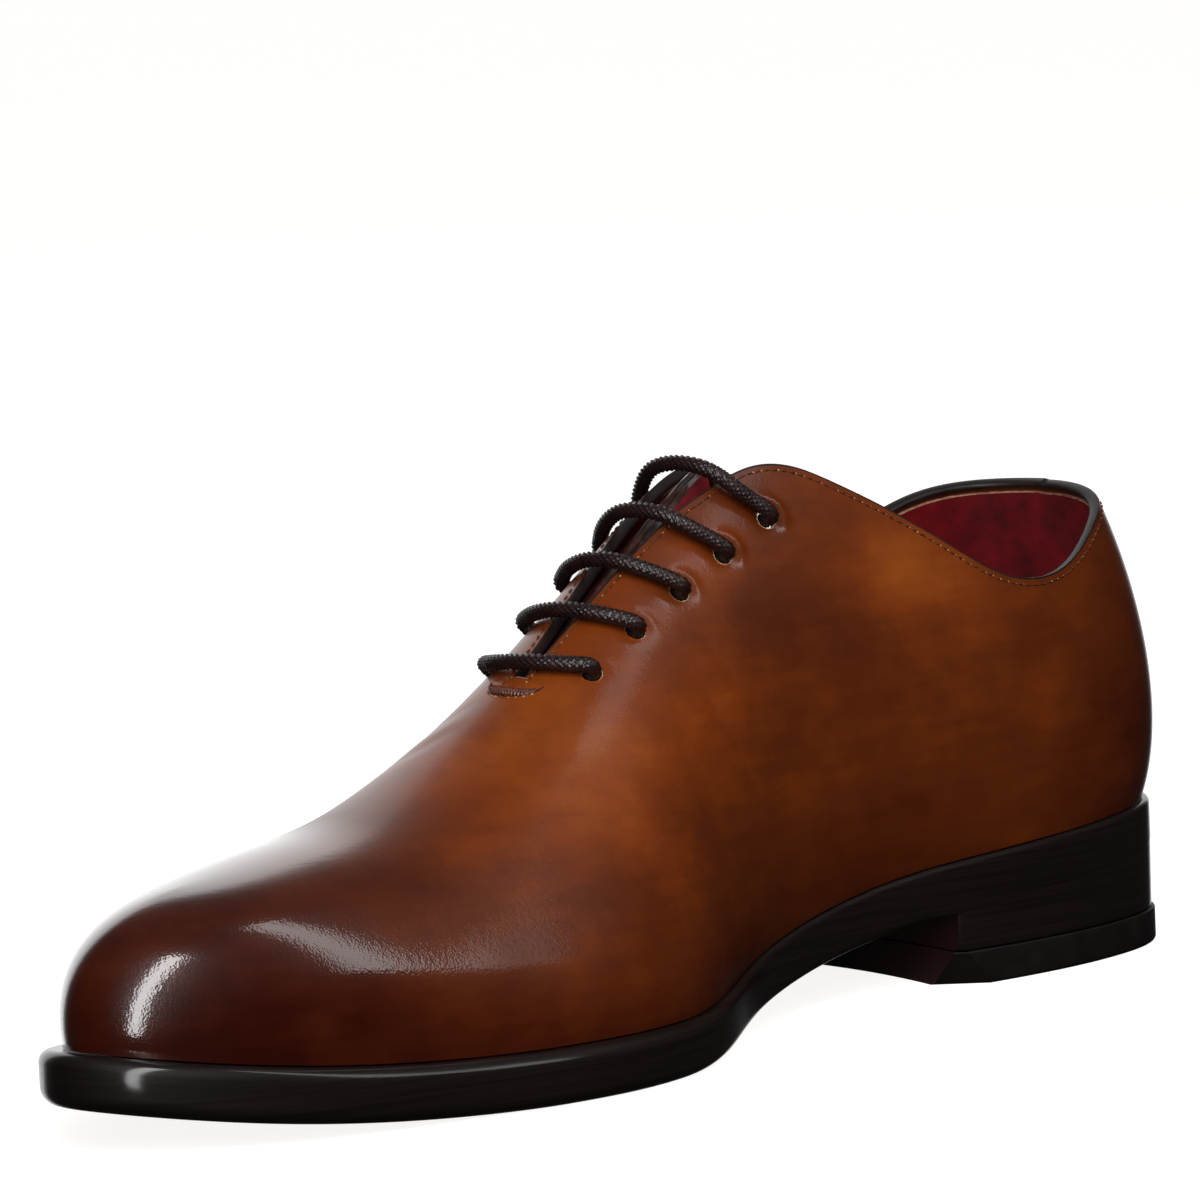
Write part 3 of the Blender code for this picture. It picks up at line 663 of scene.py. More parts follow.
def eyelet_frame(number, side):
    """An eyelet's place and its directions: outward, back to the heel and up to the throat."""
    x = station_x(THROAT) - EYELET_START - number * EYELET_PITCH
    run = run_at(x, 2)
    share = share_beside(meridian(run, side), eyelet_spread(x, side))
    place, out = last_point(run, side, share), last_normal(run, side, share)
    heelward = last_point(run - 0.001, side, share) - place
    heelward -= out * np.dot(heelward, out)
    heelward /= np.linalg.norm(heelward)
    throatward = np.cross(out, heelward)
    if np.dot(throatward, last_point(run, side, share + 0.01) - place) < 0:
        throatward = -throatward
    return place, out, heelward, throatward


for number in range(EYELETS):
    print("eyelet", number + 1, np.round(1000 * eyelet_frame(number, 1)[0], 1))

# %% The relief
Fold = namedtuple("Fold", "height width path")
MM = 0.001
FOLDS = (
    Fold(-0.20, 1.3, ((101, 20), (97, 23), (92, 25), (86, 26))),
    Fold(0.16, 1.2, ((99, 18), (94, 21), (88, 23), (82, 24))),
    Fold(-0.16, 1.0, ((90, 21), (85, 23), (79, 24), (73, 24))),
    Fold(0.14, 1.1, ((104, 23), (99, 26), (93, 28), (88, 30))),
    Fold(-0.14, 1.4, ((108, 21), (103, 26), (98, 30))),
    Fold(-0.22, 2.6, ((150, 5), (154, 10), (156, 17))),
    Fold(0.20, 2.8, ((146, 4), (149, 11), (150, 18))),
    Fold(-0.18, 2.4, ((141, 6), (143, 12), (144, 19))),
    Fold(0.10, 0.5, ((84, 17), (78, 18), (71, 18))),
    Fold(0.11, 0.6, ((95, 18), (87, 20), (78, 21))),
    Fold(0.09, 0.5, ((92, 21), (84, 23), (76, 24))),
    Fold(0.10, 0.6, ((98, 21), (91, 24), (84, 26))),
)
# How high the leather stands behind each eyelet, from the throat's bottom up
PUCKERS = (0.10, 0.26, 0.62, 1.05, 1.10)
PUCKER_REACH = 4.1
PUCKER_WIDTH = 0.95
PUCKER_DIP, DIP_REACH = 0.5, 2.6
CRESCENT = (-45, 75)
LATERAL_FOLDS, LATERAL_PUCKERS = 0.8, 0.7
RUBBED, RUBBED_WIDTH = 0.55, 1.2
HEEL_SHINE, HEEL_SHINE_X, HEEL_SHINE_REACH = 0.4, -36, 12


def distance_to_path(points, path):
    """How far each point is from a chain of points, and how far along it the nearest place is."""
    best, along = np.full(len(points), 1e9), np.zeros(len(points))
    for k in range(len(path) - 1):
        leg = path[k + 1] - path[k]
        share = np.clip((points - path[k]) @ leg / (leg @ leg), 0, 1)
        away = np.linalg.norm(points - path[k] - share[:, None] * leg, axis=1)
        closer = away < best
        best[closer] = away[closer]
        along[closer] = ((k + share) / (len(path) - 1))[closer]
    return best, along


def fold_relief(points, path, height, width):
    """A soft ridge, or a trough, along a path, that fades at both ends."""
    away, along = distance_to_path(points, path)
    fade = np.sin(np.pi * np.clip(0.06 + 0.88 * along, 0, 1)) ** 0.8
    return height * MM * fade * np.exp(-((away / (width * MM)) ** 2))


def relief(points):
    """How far the leather stands off the last at each point."""
    lift = np.zeros(len(points))
    for fold in FOLDS:
        for side, strength in ((1, 1.0), (-1, LATERAL_FOLDS)):
            path = np.array([beside(x * MM, side, spread * MM) for x, spread in fold.path])
            lift += strength * fold_relief(points, path, fold.height, fold.width)
    for number, height in enumerate(PUCKERS):
        for side, strength in ((1, 1.0), (-1, LATERAL_PUCKERS)):
            place, _, heelward, throatward = eyelet_frame(number, side)
            turns = np.radians(np.linspace(*CRESCENT, 9))[:, None]
            arc = place + PUCKER_REACH * MM * (heelward * np.cos(turns) + throatward * np.sin(turns))
            lift += strength * fold_relief(points, arc, height, PUCKER_WIDTH)
            near = np.linalg.norm(points - place, axis=1)
            lift -= strength * PUCKER_DIP * height * MM * np.exp(-((near / (DIP_REACH * MM)) ** 2))
    return lift


print("folds and puckers:", len(FOLDS), len(PUCKERS))

# %% [markdown]
# ## Patina
# This leather leaves the tannery pale tan. The colour is rubbed on by hand afterwards, in
# thin layers of dye and wax: darkest on the toe, at the heel and down by the sole,
# lightest round the lacing. Each dark or light place is one soft patch, with its centre
# and reach in millimetres, and the mesh carries their sum as an attribute. The patches
# that lighten the throat, facings, quarter, collar and vamp are partly painted light, and
# those that darken the waist and beside the facings are partly painted shade.

# %% Patches of dye, with painted light and shade
Patch = namedtuple("Patch", "name strength x z reach_x reach_z")
BASE_TONE = 0.47
SATIN = 0.18
MIRROR_FROM, MIRROR_FADE = 180, 24
# The patches that lighten high up are partly painted light, and the waist and facing patches that darken are
# partly painted shade.
PATCHES = (
    Patch("toe burnish", 0.42, 245, 20, 42, 60),
    Patch("toe cap top", 0.10, 225, 45, 16, 18),
    Patch("welt line", 0.26, 120, 8, 160, 15),
    Patch("waist dye and painted shade", 0.16, 60, 34, 50, 16),
    Patch("heel burnish", 0.26, -22, 40, 26, 40),
    Patch("heel back", 0.14, -32, 62, 14, 22),
    Patch("throat dye and painted light", -0.20, 132, 70, 30, 18),
    Patch("facing dye and painted light", -0.12, 100, 92, 26, 12),
    Patch("quarter dye and painted light", -0.32, 46, 88, 17, 11),
    Patch("collar dye and painted light", -0.10, 0, 78, 24, 10),
    Patch("vamp dye and painted light", -0.22, 150, 58, 26, 14),
    Patch("facing dye and painted shade", 0.16, 82, 80, 14, 9),
)


def tone(points):
    """How dark the colour is drawn at each point, from 0 for tan to 1 for mahogany: dye, with painted light
    and shade in some patches.
    """
    dark = np.full(len(points), BASE_TONE)
    for patch in PATCHES:
        x = (points[:, 0] / MM - patch.x) / patch.reach_x
        z = (points[:, 2] / MM - patch.z) / patch.reach_z
        dark += patch.strength * np.exp(-(x * x + z * z))
    return np.clip(dark, 0, 1)


def gloss(points):
    """How far the wax is polished: a mirror on the toe, satin behind it."""
    shine = SATIN + (1 - SATIN) * smooth_step((points[:, 0] / MM - MIRROR_FROM) / MIRROR_FADE)
    shine += HEEL_SHINE * np.exp(-(((points[:, 0] / MM - HEEL_SHINE_X) / HEEL_SHINE_REACH) ** 2))
    for number, height in enumerate(PUCKERS):
        for side in (1, -1):
            near = np.linalg.norm(points - eyelet_frame(number, side)[0], axis=1) / MM
            shine += RUBBED * height * np.exp(-((near - PUCKER_REACH) / RUBBED_WIDTH) ** 2)
    return np.clip(shine, 0, 1)


def give_attribute(mesh, name, values):
    layer = mesh.attributes.new(name, "FLOAT", "POINT")
    layer.data.foreach_set("value", np.asarray(values, np.float32))


# %% [markdown]
# The finish itself is calf, full grain, smooth and waxed. Smooth calf has an IOR near 1.5. The dye
# gives soft clouds 10 to 30 mm wide and faint strokes of the brush, the grain is
# under half a millimetre and shows only inside the highlights, and the wax is a clear coat.

# %% Burnished calf
CLOUD_DEPTH, STROKE_DEPTH = 0.62, 0.24

calf, tree, shader = start_material(
    "hand burnished calf", ior=1.5, specular_ior_level=0.22, coat_roughness=0.08, coat_ior=1.5
)
polish = add_node(tree, "ShaderNodeAttribute", {"attribute_name": "gloss"}).outputs["Fac"]
tree.links.new(polish, shader.inputs["Coat Weight"])
matt = add_node(
    tree,
    "ShaderNodeMapRange",
    {"From Min": SATIN, "From Max": 1.0, "To Min": 0.40, "To Max": 0.30},
    {"Value": polish},
)
tree.links.new(matt.outputs[0], shader.inputs["Roughness"])
spot = add_node(tree, "ShaderNodeTexCoord").outputs["Object"]
total = add_node(tree, "ShaderNodeAttribute", {"attribute_name": "tone"}).outputs["Fac"]
brushed = {"Scale": (60, 60, 330), "Rotation": (0, 0.5, 0)}
stretch = add_node(tree, "ShaderNodeMapping", brushed, {"Vector": spot})
for place, depth, clouds in (
    (spot, CLOUD_DEPTH, {"Scale": 55, "Detail": 4, "Roughness": 0.55}),
    (stretch.outputs[0], STROKE_DEPTH, {"Scale": 1.0, "Detail": 5, "Roughness": 0.6}),
):
    noise = add_node(tree, "ShaderNodeTexNoise", clouds, {"Vector": place}).outputs["Fac"]
    centred = {"operation": "MULTIPLY_ADD", 1: depth, 2: -depth / 2}
    cloudy = add_node(tree, "ShaderNodeMath", centred, {0: noise}).outputs[0]
    total = add_node(tree, "ShaderNodeMath", {"operation": "ADD"}, {0: total, 1: cloudy}).outputs[0]
dye = ramp(
    tree,
    total,
    ((0.0, "#924814"), (0.25, "#78340b"), (0.5, "#5a250a"), (0.75, "#461807"), (1.0, "#300a03")),
)
tree.links.new(dye, shader.inputs["Base Color"])
grain = add_node(tree, "ShaderNodeTexVoronoi", {"Scale": 2100, "Randomness": 1.0}, {"Vector": spot})
pores = add_node(tree, "ShaderNodeTexNoise", {"Scale": 900, "Detail": 3}, {"Vector": spot})
heights = {0: grain.outputs["Distance"], 2: pores.outputs["Fac"]}
surface = add_node(tree, "ShaderNodeMath", {"operation": "MULTIPLY_ADD", 1: 0.5}, heights)
shallow = {"Strength": 0.35, "Distance": 0.00006}
bump = add_node(tree, "ShaderNodeBump", shallow, {"Height": surface.outputs[0]})
tree.links.new(bump.outputs[0], shader.inputs["Normal"])
tree.links.new(bump.outputs[0], shader.inputs["Coat Normal"])
print("material:", calf.name)

# %% A shell over the last
def shell_grid(run, side, end, rows):
    """Points and outward directions of a grid that climbs from the sole to end."""
    shares = np.linspace(0, 1, rows + 1)[None, :] * end[:, None]
    wide = np.repeat(run[:, None], rows + 1, axis=1), np.repeat(side[:, None], rows + 1, axis=1)
    points, normals = last_point(*wide, shares), last_normal(*wide, shares)
    over_vamp = run >= THROAT_RUN - 1e-9
    twin = (len(run) - np.arange(len(run))) % len(run)
    for i in np.where(over_vamp & (side < 0))[0]:
        both = normals[i, -1] + normals[twin[i], -1]
        both[1] = 0
        normals[i, -1] = normals[twin[i], -1] = both / np.linalg.norm(both)
        points[i, -1] = points[twin[i], -1]
    return points, normals, over_vamp, twin


def make_shell(name, every, end, depths, rows, follow, finishes):
    """A closed wall between two depths under the last's surface, with its rim in the last finish."""
    run, side, end = ring_run[::every], ring_side[::every], end[::every]
    outer, normals, over_vamp, twin = shell_grid(run, side, end, rows)
    lift = relief(outer.reshape(-1, 3)).reshape(outer.shape[:2])[..., None]
    inner = (outer - normals * (depths[1] - lift * follow[1]))[:, ::INNER_EVERY]
    outer = outer - normals * (depths[0] - lift * follow[0])
    wanted = np.arange(outer.shape[0] * outer.shape[1]).reshape(outer.shape[:2])
    inner_wanted = np.arange(inner.shape[0] * inner.shape[1]).reshape(inner.shape[:2]) + wanted.size
    for index in (wanted, inner_wanted):
        for i in np.where(over_vamp & (side < 0))[0]:
            index[i, -1] = index[twin[i], -1]
    faces = grid_faces(wanted, flip=True) + grid_faces(inner_wanted)
    slots = [0] * len(faces)
    for i in range(len(run)):
        j = (i + 1) % len(run)
        faces.append([int(p) for p in (wanted[i, 0], wanted[j, 0], inner_wanted[j, 0], inner_wanted[i, 0])])
        slots.append(0)
        if not (over_vamp[i] and over_vamp[j]):
            rim = (wanted[j, -1], wanted[i, -1], inner_wanted[i, -1], inner_wanted[j, -1])
            faces.append([int(p) for p in rim])
            slots.append(len(finishes) - 1)
    points, faces, _ = compact(np.concatenate([outer.reshape(-1, 3), inner.reshape(-1, 3)]), faces)
    mesh = mesh_from(name, points, faces, slots)
    face_outward(mesh)
    mesh.set_sharp_from_angle(angle=math.radians(50))
    print(name, "triangles:", sum(len(face) - 2 for face in faces))
    return publish(name, mesh, finishes), points, faces


def belongs(piece, slot, *nodes):
    """Hangs a piece on the shoe's root and hides the CAD nodes it replaces; the slot, what it stands for, is
    not used.
    """
    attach(piece, "root")
    if nodes:
        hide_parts(*nodes)


# %% The leather
ROWS = 90
INNER_EVERY = 3
BAND = 0.0005
leather_end = np.where(in_vamp, 1.0, back_from(ring_end, BAND))
upper, upper_points, upper_faces = make_shell(
    "upper_leather", 1, leather_end, (0.0, LEATHER), ROWS, (1.0, 0.8), [calf]
)
leather_surface = BVHTree.FromPolygons([tuple(point) for point in upper_points], upper_faces)
give_attribute(upper.data, "tone", tone(upper_points))
give_attribute(upper.data, "gloss", gloss(upper_points))

# %% [markdown]
# The eyelets are only punched: five pairs of 4.4 mm holes, with the pale edge of the leather
# showing in them and no metal. A Boolean with ten round cutters, joined in one object, punches them.

# %% Punched holes
HOLE_SIDES = 40


def punch(piece):
    cutter_mesh = bpy.data.meshes.new("punches")
    shape = bmesh.new()
    for number in range(EYELETS):
        for side in (1, -1):
            place, out = eyelet_frame(number, side)[:2]
            turned = Vector(out).to_track_quat("Z", "Y").to_matrix().to_4x4()
            bmesh.ops.create_cone(
                shape,
                cap_ends=True,
                segments=HOLE_SIDES,
                radius1=EYELET_HOLE / 2,
                radius2=EYELET_HOLE / 2,
                depth=WALL * 4,
                matrix=Matrix.Translation(place) @ turned,
            )
    shape.to_mesh(cutter_mesh)
    shape.free()
    cutter = bpy.data.objects.new("punches", cutter_mesh)
    scene.collection.objects.link(cutter)
    holes = piece.modifiers.new("punched holes", "BOOLEAN")
    holes.object = cutter
    holes.solver = "EXACT"
    freeze(piece)
    bpy.data.objects.remove(cutter)


def freeze(piece):
    """Turns a piece and its modifiers into one plain mesh."""
    bpy.context.view_layer.update()
    graph = bpy.context.evaluated_depsgraph_get()
    made = bpy.data.meshes.new_from_object(piece.evaluated_get(graph), depsgraph=graph)
    made.name = piece.name
    piece.modifiers.clear()
    piece.data = made


punch(upper)
belongs(upper, "upper_leather", "upper")
print("leather with its holes, faces:", len(upper.data.polygons))

# %% [markdown]
# ## Lining, collar and sock
# Inside, the shoe is lined with red suede, cut off just below the rim, where its raw edge shows as
# a pale line. The rim itself is folded over and dyed nearly black. Suede is leather with its
# fibres up: it is rough, has no clear gloss, and its nap catches light at the edges, which sheen gives.

# %% Suede, raw edge and dyed edge
suede, tree, shader = start_material(
    "red suede", roughness=0.92, ior=1.45, sheen_weight=0.22, sheen_roughness=0.45
)
shader.inputs["Sheen Tint"].default_value = linear("#b02028")
nap = ((0.25, "#46020a"), (0.6, "#7a0612"), (0.85, "#981824"))
mottle(tree, shader, nap, Scale=130, Detail=5, Roughness=0.65)
roughen(tree, shader, 0.5, 0.00015, Scale=2600, Detail=3)

raw_edge, tree, shader = start_material("raw cut edge of suede", roughness=0.85)
mottle(tree, shader, ((0.35, "#8a4a3c"), (0.65, "#c99c7e")), Scale=500, Detail=4)

dyed_edge, tree, shader = start_material(
    "dyed folded edge", roughness=0.5, coat_weight=0.08, coat_roughness=0.25
)
mottle(tree, shader, ((0.3, "#120c0a"), (0.7, "#241a17")), Scale=260, Detail=4)
roughen(tree, shader, 0.3, 0.0001, Scale=1500, Detail=3)

# %% The lining
LINING_ROWS = 36
FOLD_DOWN = 0.0023
lining_end = np.where(in_vamp, 1.0, back_from(ring_end, FOLD_DOWN + 0.0001))
lining, _, _ = make_shell(
    "lining", 2, lining_end, (LEATHER + 0.00005, WALL), LINING_ROWS, (0.8, 0.6), [suede, raw_edge]
)
punch(lining)
belongs(lining, "sock_suede")


# %% The path of the opening
RIM_STEP = 0.0009


def even_path(path, spacing):
    """The same path with points at even spacing."""
    travelled = np.concatenate([[0], np.cumsum(np.linalg.norm(np.diff(path, axis=0), axis=1))])
    count = max(int(travelled[-1] / spacing), 2)
    places = np.linspace(0, travelled[-1], count + 1)
    return np.stack([np.interp(places, travelled, column) for column in path.T], axis=1)


throat_column = int(np.argmin(np.abs(RUNS - THROAT_RUN)))
loop = list(range(throat_column, -1, -1)) + [len(ring_run) - k for k in range(1, throat_column + 1)]
rim_points = along_meridian(ring_handles, ring_end)[loop]
rim_normals = last_normal(ring_run, ring_side, ring_end)[loop]
rim = even_path(np.concatenate([rim_points, rim_normals], axis=1), RIM_STEP)
rim_path = rim[:, :3]
rim_out = rim[:, 3:] / np.linalg.norm(rim[:, 3:], axis=1, keepdims=True)
rim_along = np.gradient(rim_path, axis=0)
rim_along /= np.linalg.norm(rim_along, axis=1, keepdims=True)
rim_up = np.cross(rim_along, rim_out)
rim_up /= np.linalg.norm(rim_up, axis=1, keepdims=True)
if rim_up[len(rim_up) // 2, 2] < 0:
    rim_up = -rim_up
print("length of the opening's edge, mm:", round(1000 * len(rim) * RIM_STEP))


def sweep(name, path, up, out, profile, finishes):
    """Carries a closed outline of (up, out) steps along a path and caps its ends."""
    count, wide = len(path), len(profile)
    rises, steps_out = profile[:, 0, None], profile[:, 1, None]
    points = np.concatenate([path[i] + rises * up[i] + steps_out * out[i] for i in range(count)])
    index = np.arange(count * wide).reshape(count, wide)
    faces = grid_faces(np.concatenate([index, index[:, :1]], axis=1), closed=False)
    faces += [list(range(wide)), [(count - 1) * wide + k for k in reversed(range(wide))]]
    mesh = mesh_from(name, points, faces)
    face_outward(mesh)
    mesh.set_sharp_from_angle(angle=math.radians(50))
    return publish(name, mesh, finishes)


# %% The folded edge
FOLD = np.array(
    [
        (-0.40, 0.03),
        (-0.25, 0.05),
        (-0.10, 0.00),
        (0.0, -0.35),
        (0.02, -1.1),
        (0.0, -1.8),
        (-0.2, -2.25),
        (-0.5, -2.4),
        (-0.9, -2.4),
        (-0.9, -1.5),
        (-0.6, -1.3),
        (-0.6, -0.15),
        (-0.40, -0.05),
    ]
)
folded = sweep("collar_edge", rim_path, rim_up, rim_out, FOLD * MM, [dyed_edge])
belongs(folded, "upper_leather")

# %% [markdown]
# ## Stitches
# A stitched line repeats one small thing along a path, so Geometry Nodes make it. The tree
# resamples the path at the stitch's pitch, lays a short thread at each point along the path's
# direction, turns each one a little at random from a fixed seed, and makes them real. A line of
# needle holes comes from the same tree, half a pitch along. Both trees of this lesson end alike,
# so one function starts a tree and another finishes it.


# %% The stitch tree
def start_tree(name, **kinds):
    """A new tree with one geometry output. Returns it, its inputs' identifiers and their sockets."""
    tree = bpy.data.node_groups.new(name, "GeometryNodeTree")
    inputs = {}
    for socket, kind in kinds.items():
        made = tree.interface.new_socket(socket, in_out="INPUT", socket_type="NodeSocket" + kind)
        inputs[socket] = made.identifier
    tree.interface.new_socket("Result", in_out="OUTPUT", socket_type="NodeSocketGeometry")
    return tree, inputs, tree.nodes.new("NodeGroupInput").outputs


def finish_tree(tree, places, thing, turned, finish, smooth=False):
    """Puts the thing on each place, makes all of them real and gives them their finish."""
    links = {"Points": places, "Instance": thing, "Rotation": turned}
    laid = add_node(tree, "GeometryNodeInstanceOnPoints", links=links)
    real = add_node(tree, "GeometryNodeRealizeInstances", links={0: laid.outputs[0]})
    if smooth:
        real = add_node(tree, "GeometryNodeSetShadeSmooth", links={0: real.outputs[0]})
    links = {"Geometry": real.outputs[0], "Material": finish}
    painted = add_node(tree, "GeometryNodeSetMaterial", links=links)
    add_node(tree, "NodeGroupOutput", links={0: painted.outputs[0]})


stitch_tree, stitch_inputs, given = start_tree(
    "stitches along a path",
    Path="Geometry",
    Pitch="Float",
    Length="Float",
    Thickness="Float",
    Tilt="Float",
    Seed="Int",
    Thread="Material",
)
line = add_node(stitch_tree, "GeometryNodeMeshToCurve", links={0: given["Path"]})
links = {"Curve": line.outputs[0], "Length": given["Pitch"]}
even = add_node(stitch_tree, "GeometryNodeResampleCurve", {"mode": "LENGTH"}, links)
tangent = add_node(stitch_tree, "GeometryNodeInputTangent")
links = {"Vector": tangent.outputs[0]}
aligned = add_node(stitch_tree, "FunctionNodeAlignRotationToVector", {"axis": "X"}, links)
negative = {"operation": "MULTIPLY", 1: -1.0}
least = add_node(stitch_tree, "ShaderNodeMath", negative, {0: given["Tilt"]})
links = {2: least.outputs[0], 3: given["Tilt"], "Seed": given["Seed"]}
tilt = add_node(stitch_tree, "FunctionNodeRandomValue", {"data_type": "FLOAT"}, links)
links = {"Y": tilt.outputs[1], "Z": tilt.outputs[1]}
twist = add_node(stitch_tree, "ShaderNodeCombineXYZ", links=links)
as_turn = add_node(stitch_tree, "FunctionNodeEulerToRotation", links={0: twist.outputs[0]})
links = {0: aligned.outputs[0], 1: as_turn.outputs[0]}
turned = add_node(stitch_tree, "FunctionNodeRotateRotation", {"rotation_space": "LOCAL"}, links)
links = {"X": given["Length"], "Y": given["Thickness"], "Z": given["Thickness"]}
size = add_node(stitch_tree, "ShaderNodeCombineXYZ", links=links)
ball = {"Segments": 8, "Rings": 6, "Radius": 0.5}
thread = add_node(stitch_tree, "GeometryNodeMeshUVSphere", ball)
quarter = {"Rotation": (0, math.pi / 2, 0)}
lying = add_node(stitch_tree, "GeometryNodeTransform", quarter, {"Geometry": thread.outputs[0]})
links = {"Geometry": lying.outputs[0], "Scale": size.outputs[0]}
stretched = add_node(stitch_tree, "GeometryNodeTransform", links=links)
finish_tree(
    stitch_tree, even.outputs[0], stretched.outputs[0], turned.outputs[0], given["Thread"], True
)
print("nodes in the stitch tree:", len(stitch_tree.nodes))


def grow(name, tree, inputs, points, values, attributes=None, chain=True):
    """Runs a tree over a chain of points, or over loose ones, and keeps the result as a plain mesh."""
    base = bpy.data.meshes.new(name)
    edges = [(k, k + 1) for k in range(len(points) - 1)] if chain else []
    base.from_pydata([tuple(point) for point in points], edges, [])
    for attribute, vectors in (attributes or {}).items():
        base.attributes.new(attribute, "FLOAT_VECTOR", "POINT").data.foreach_set("vector", np.ravel(vectors))
    made = bpy.data.objects.new(name, base)
    scene.collection.objects.link(made)
    grown = made.modifiers.new(name, "NODES")
    grown.node_group = tree
    for socket, value in values.items():
        grown[inputs[socket]] = value
    freeze(made)
    print(name, "faces:", len(made.data.polygons))
    return made


# %% Thread, and where it runs
thread_brown, tree, shader = start_material("waxed linen thread", roughness=0.5)
mottle(tree, shader, ((0.3, "#2c150a"), (0.7, "#6a3a1c")), Scale=1400, Detail=2)
# Pale rims of needle holes; round the half moon their pale spots are also painted glints.
needle_rim_and_glint, tree, shader = start_material("pale needle hole rim and painted glint", roughness=0.6)
mottle(tree, shader, ((0.42, "#6a3414"), (0.6, "#d09a66")), Scale=300, Detail=2)

STITCH_INSET = 0.0016
STITCH_PITCH = 0.0020
PATH_STEP, FINE_STEP = 0.0008, 0.00008
THREAD_LIFT = 0.00008


def on_leather(points, lift):
    """Moves points onto the leather's outer face, and lift above it."""
    placed = []
    for point in points:
        spot, normal, _, _ = leather_surface.find_nearest(Vector(point))
        placed.append(spot + normal * lift)
    return np.array(placed)


def sew(name, path, values):
    """A row of stitches: pitch, length and thickness in metres, tilt in radians, seed and thread."""
    settings = dict(zip(list(stitch_inputs)[1:], values))
    belongs(grow(name, stitch_tree, stitch_inputs, path, settings), "upper_leather")


inset_path = even_path(rim_path - rim_up * STITCH_INSET, PATH_STEP)
stitch_path = on_leather(inset_path, THREAD_LIFT)
half = int(STITCH_PITCH / 2 / FINE_STEP)
fine_path = even_path(stitch_path, FINE_STEP)
sew("edge_stitches", stitch_path, (STITCH_PITCH, 0.0014, 0.00042, 0.10, 7, thread_brown))
sew("needle_holes", fine_path[half:], (STITCH_PITCH, 0.0005, 0.00034, 0.3, 3, needle_rim_and_glint))

# %% [markdown]
# At the bottom of the throat the two facings would tear apart, so a half moon of dense stitches holds
# them. It is a small raised patch, ribbed by its threads, with a row of needle holes round it. The
# pale colour of these holes is partly the undyed rim of each hole and partly painted glints.

# %% The half moon
TACK_HALF = 7.0
TACK_BACK, TACK_BOW, TACK_BAND = -3.7, 5.1, 0.56
TACK_HEIGHT = 0.7
TACK_THREADS = 19
tack_finish, tree, shader = start_material(
    "dark waxed thread", roughness=0.35, coat_weight=0.4, coat_roughness=0.15
)
mottle(tree, shader, ((0.3, "#2a0c05"), (0.7, "#6a3018")), Scale=700, Detail=3)


def half_moon():
    """A ribbed patch over the throat's bottom; its lower face lies in the leather."""
    share, across = np.meshgrid(np.linspace(0, 1, 13), np.linspace(-1, 1, 121), indexing="ij")
    bow = np.sqrt(1 - across**2 * 0.98)
    x = station_x(THROAT) + MM * (TACK_BACK + TACK_BOW * bow * share)
    ribs = 0.45 + 0.55 * np.abs(np.sin(across * math.pi * TACK_THREADS / 2))
    band = np.clip((share - TACK_BAND) / (1 - TACK_BAND), 0, 1)
    raised = TACK_HEIGHT * MM * np.sqrt(np.clip(4 * band * (1 - band), 0, 1)) * ribs * bow**0.5 + 0.06 * MM
    side = np.where(across >= 0, 1, -1)
    run = run_at(x, 2)
    up = share_beside(meridian(run, side), MM * TACK_HALF * np.abs(across))
    spot, out = last_point(run, side, up), last_normal(run, side, up)
    middle = np.abs(across) < 1e-6
    out[middle] = ridge_normal(x[middle])
    front = (spot + out * raised[..., None]).reshape(-1, 3)
    behind = (spot - out * 0.3 * MM).reshape(-1, 3)
    faces = plate_faces(np.arange(x.size).reshape(x.shape))
    sewn = (share[:-1, :-1] > TACK_BAND - 0.01).ravel()
    slots = [int(not stitched) for stitched in sewn] + [0] * (len(faces) - len(sewn))
    mesh = mesh_from("half_moon", np.concatenate([front, behind]), faces, slots)
    give_attribute(mesh, "tone", tone(np.concatenate([front, behind])))
    give_attribute(mesh, "gloss", gloss(np.concatenate([front, behind])))
    face_outward(mesh)
    return publish("half_moon", mesh, [tack_finish, calf]), front.reshape(*x.shape, 3)


tack, tack_grid = half_moon()
belongs(tack, "upper_leather")
# Pale needle holes round the half moon, which also stand in as painted glints.
tack_path = on_leather(tack_grid[-1, 8:-8:4] + [0.0004, 0, 0], 0.00006)
sew("half_moon_holes_and_glints", tack_path, (0.0016, 0.0006, 0.0004, 0.5, 5, needle_rim_and_glint))

# %% [markdown]
# The pale edge that shows in each punched hole is a thin sleeve. Ten of the same ring, each
# turned to the leather, are a job for instances on points again.

# %% Sleeves of the eyelets
cream, tree, shader = start_material("undyed edge of a punched hole", roughness=0.7)
mottle(tree, shader, ((0.3, "#b98f62"), (0.7, "#ead9bd")), Scale=900, Detail=3)

sleeve_tree, sleeve_inputs, given = start_tree(
    "sleeves in punched holes",
    Places="Geometry",
    Radius="Float",
    Wall="Float",
    Depth="Float",
    Edge="Material",
)
links = {"Radius": given["Radius"]}
circle = add_node(sleeve_tree, "GeometryNodeCurvePrimitiveCircle", {"Resolution": HOLE_SIDES}, links)
links = {"Width": given["Wall"], "Height": given["Depth"]}
outline = add_node(sleeve_tree, "GeometryNodeCurvePrimitiveQuadrilateral", links=links)
links = {"Curve": circle.outputs[0], "Profile Curve": outline.outputs[0]}
ring = add_node(sleeve_tree, "GeometryNodeCurveToMesh", links=links)
stored = {"data_type": "FLOAT_VECTOR", "Name": "out"}
outward = add_node(sleeve_tree, "GeometryNodeInputNamedAttribute", stored)
links = {"Vector": outward.outputs[0]}
aligned = add_node(sleeve_tree, "FunctionNodeAlignRotationToVector", {"axis": "Z"}, links)
finish_tree(sleeve_tree, given["Places"], ring.outputs[0], aligned.outputs[0], given["Edge"])
frames = [eyelet_frame(number, side) for number in range(EYELETS) for side in (1, -1)]
SLEEVE_DEPTH, SLEEVE_SUNK = 0.0017, 0.00030
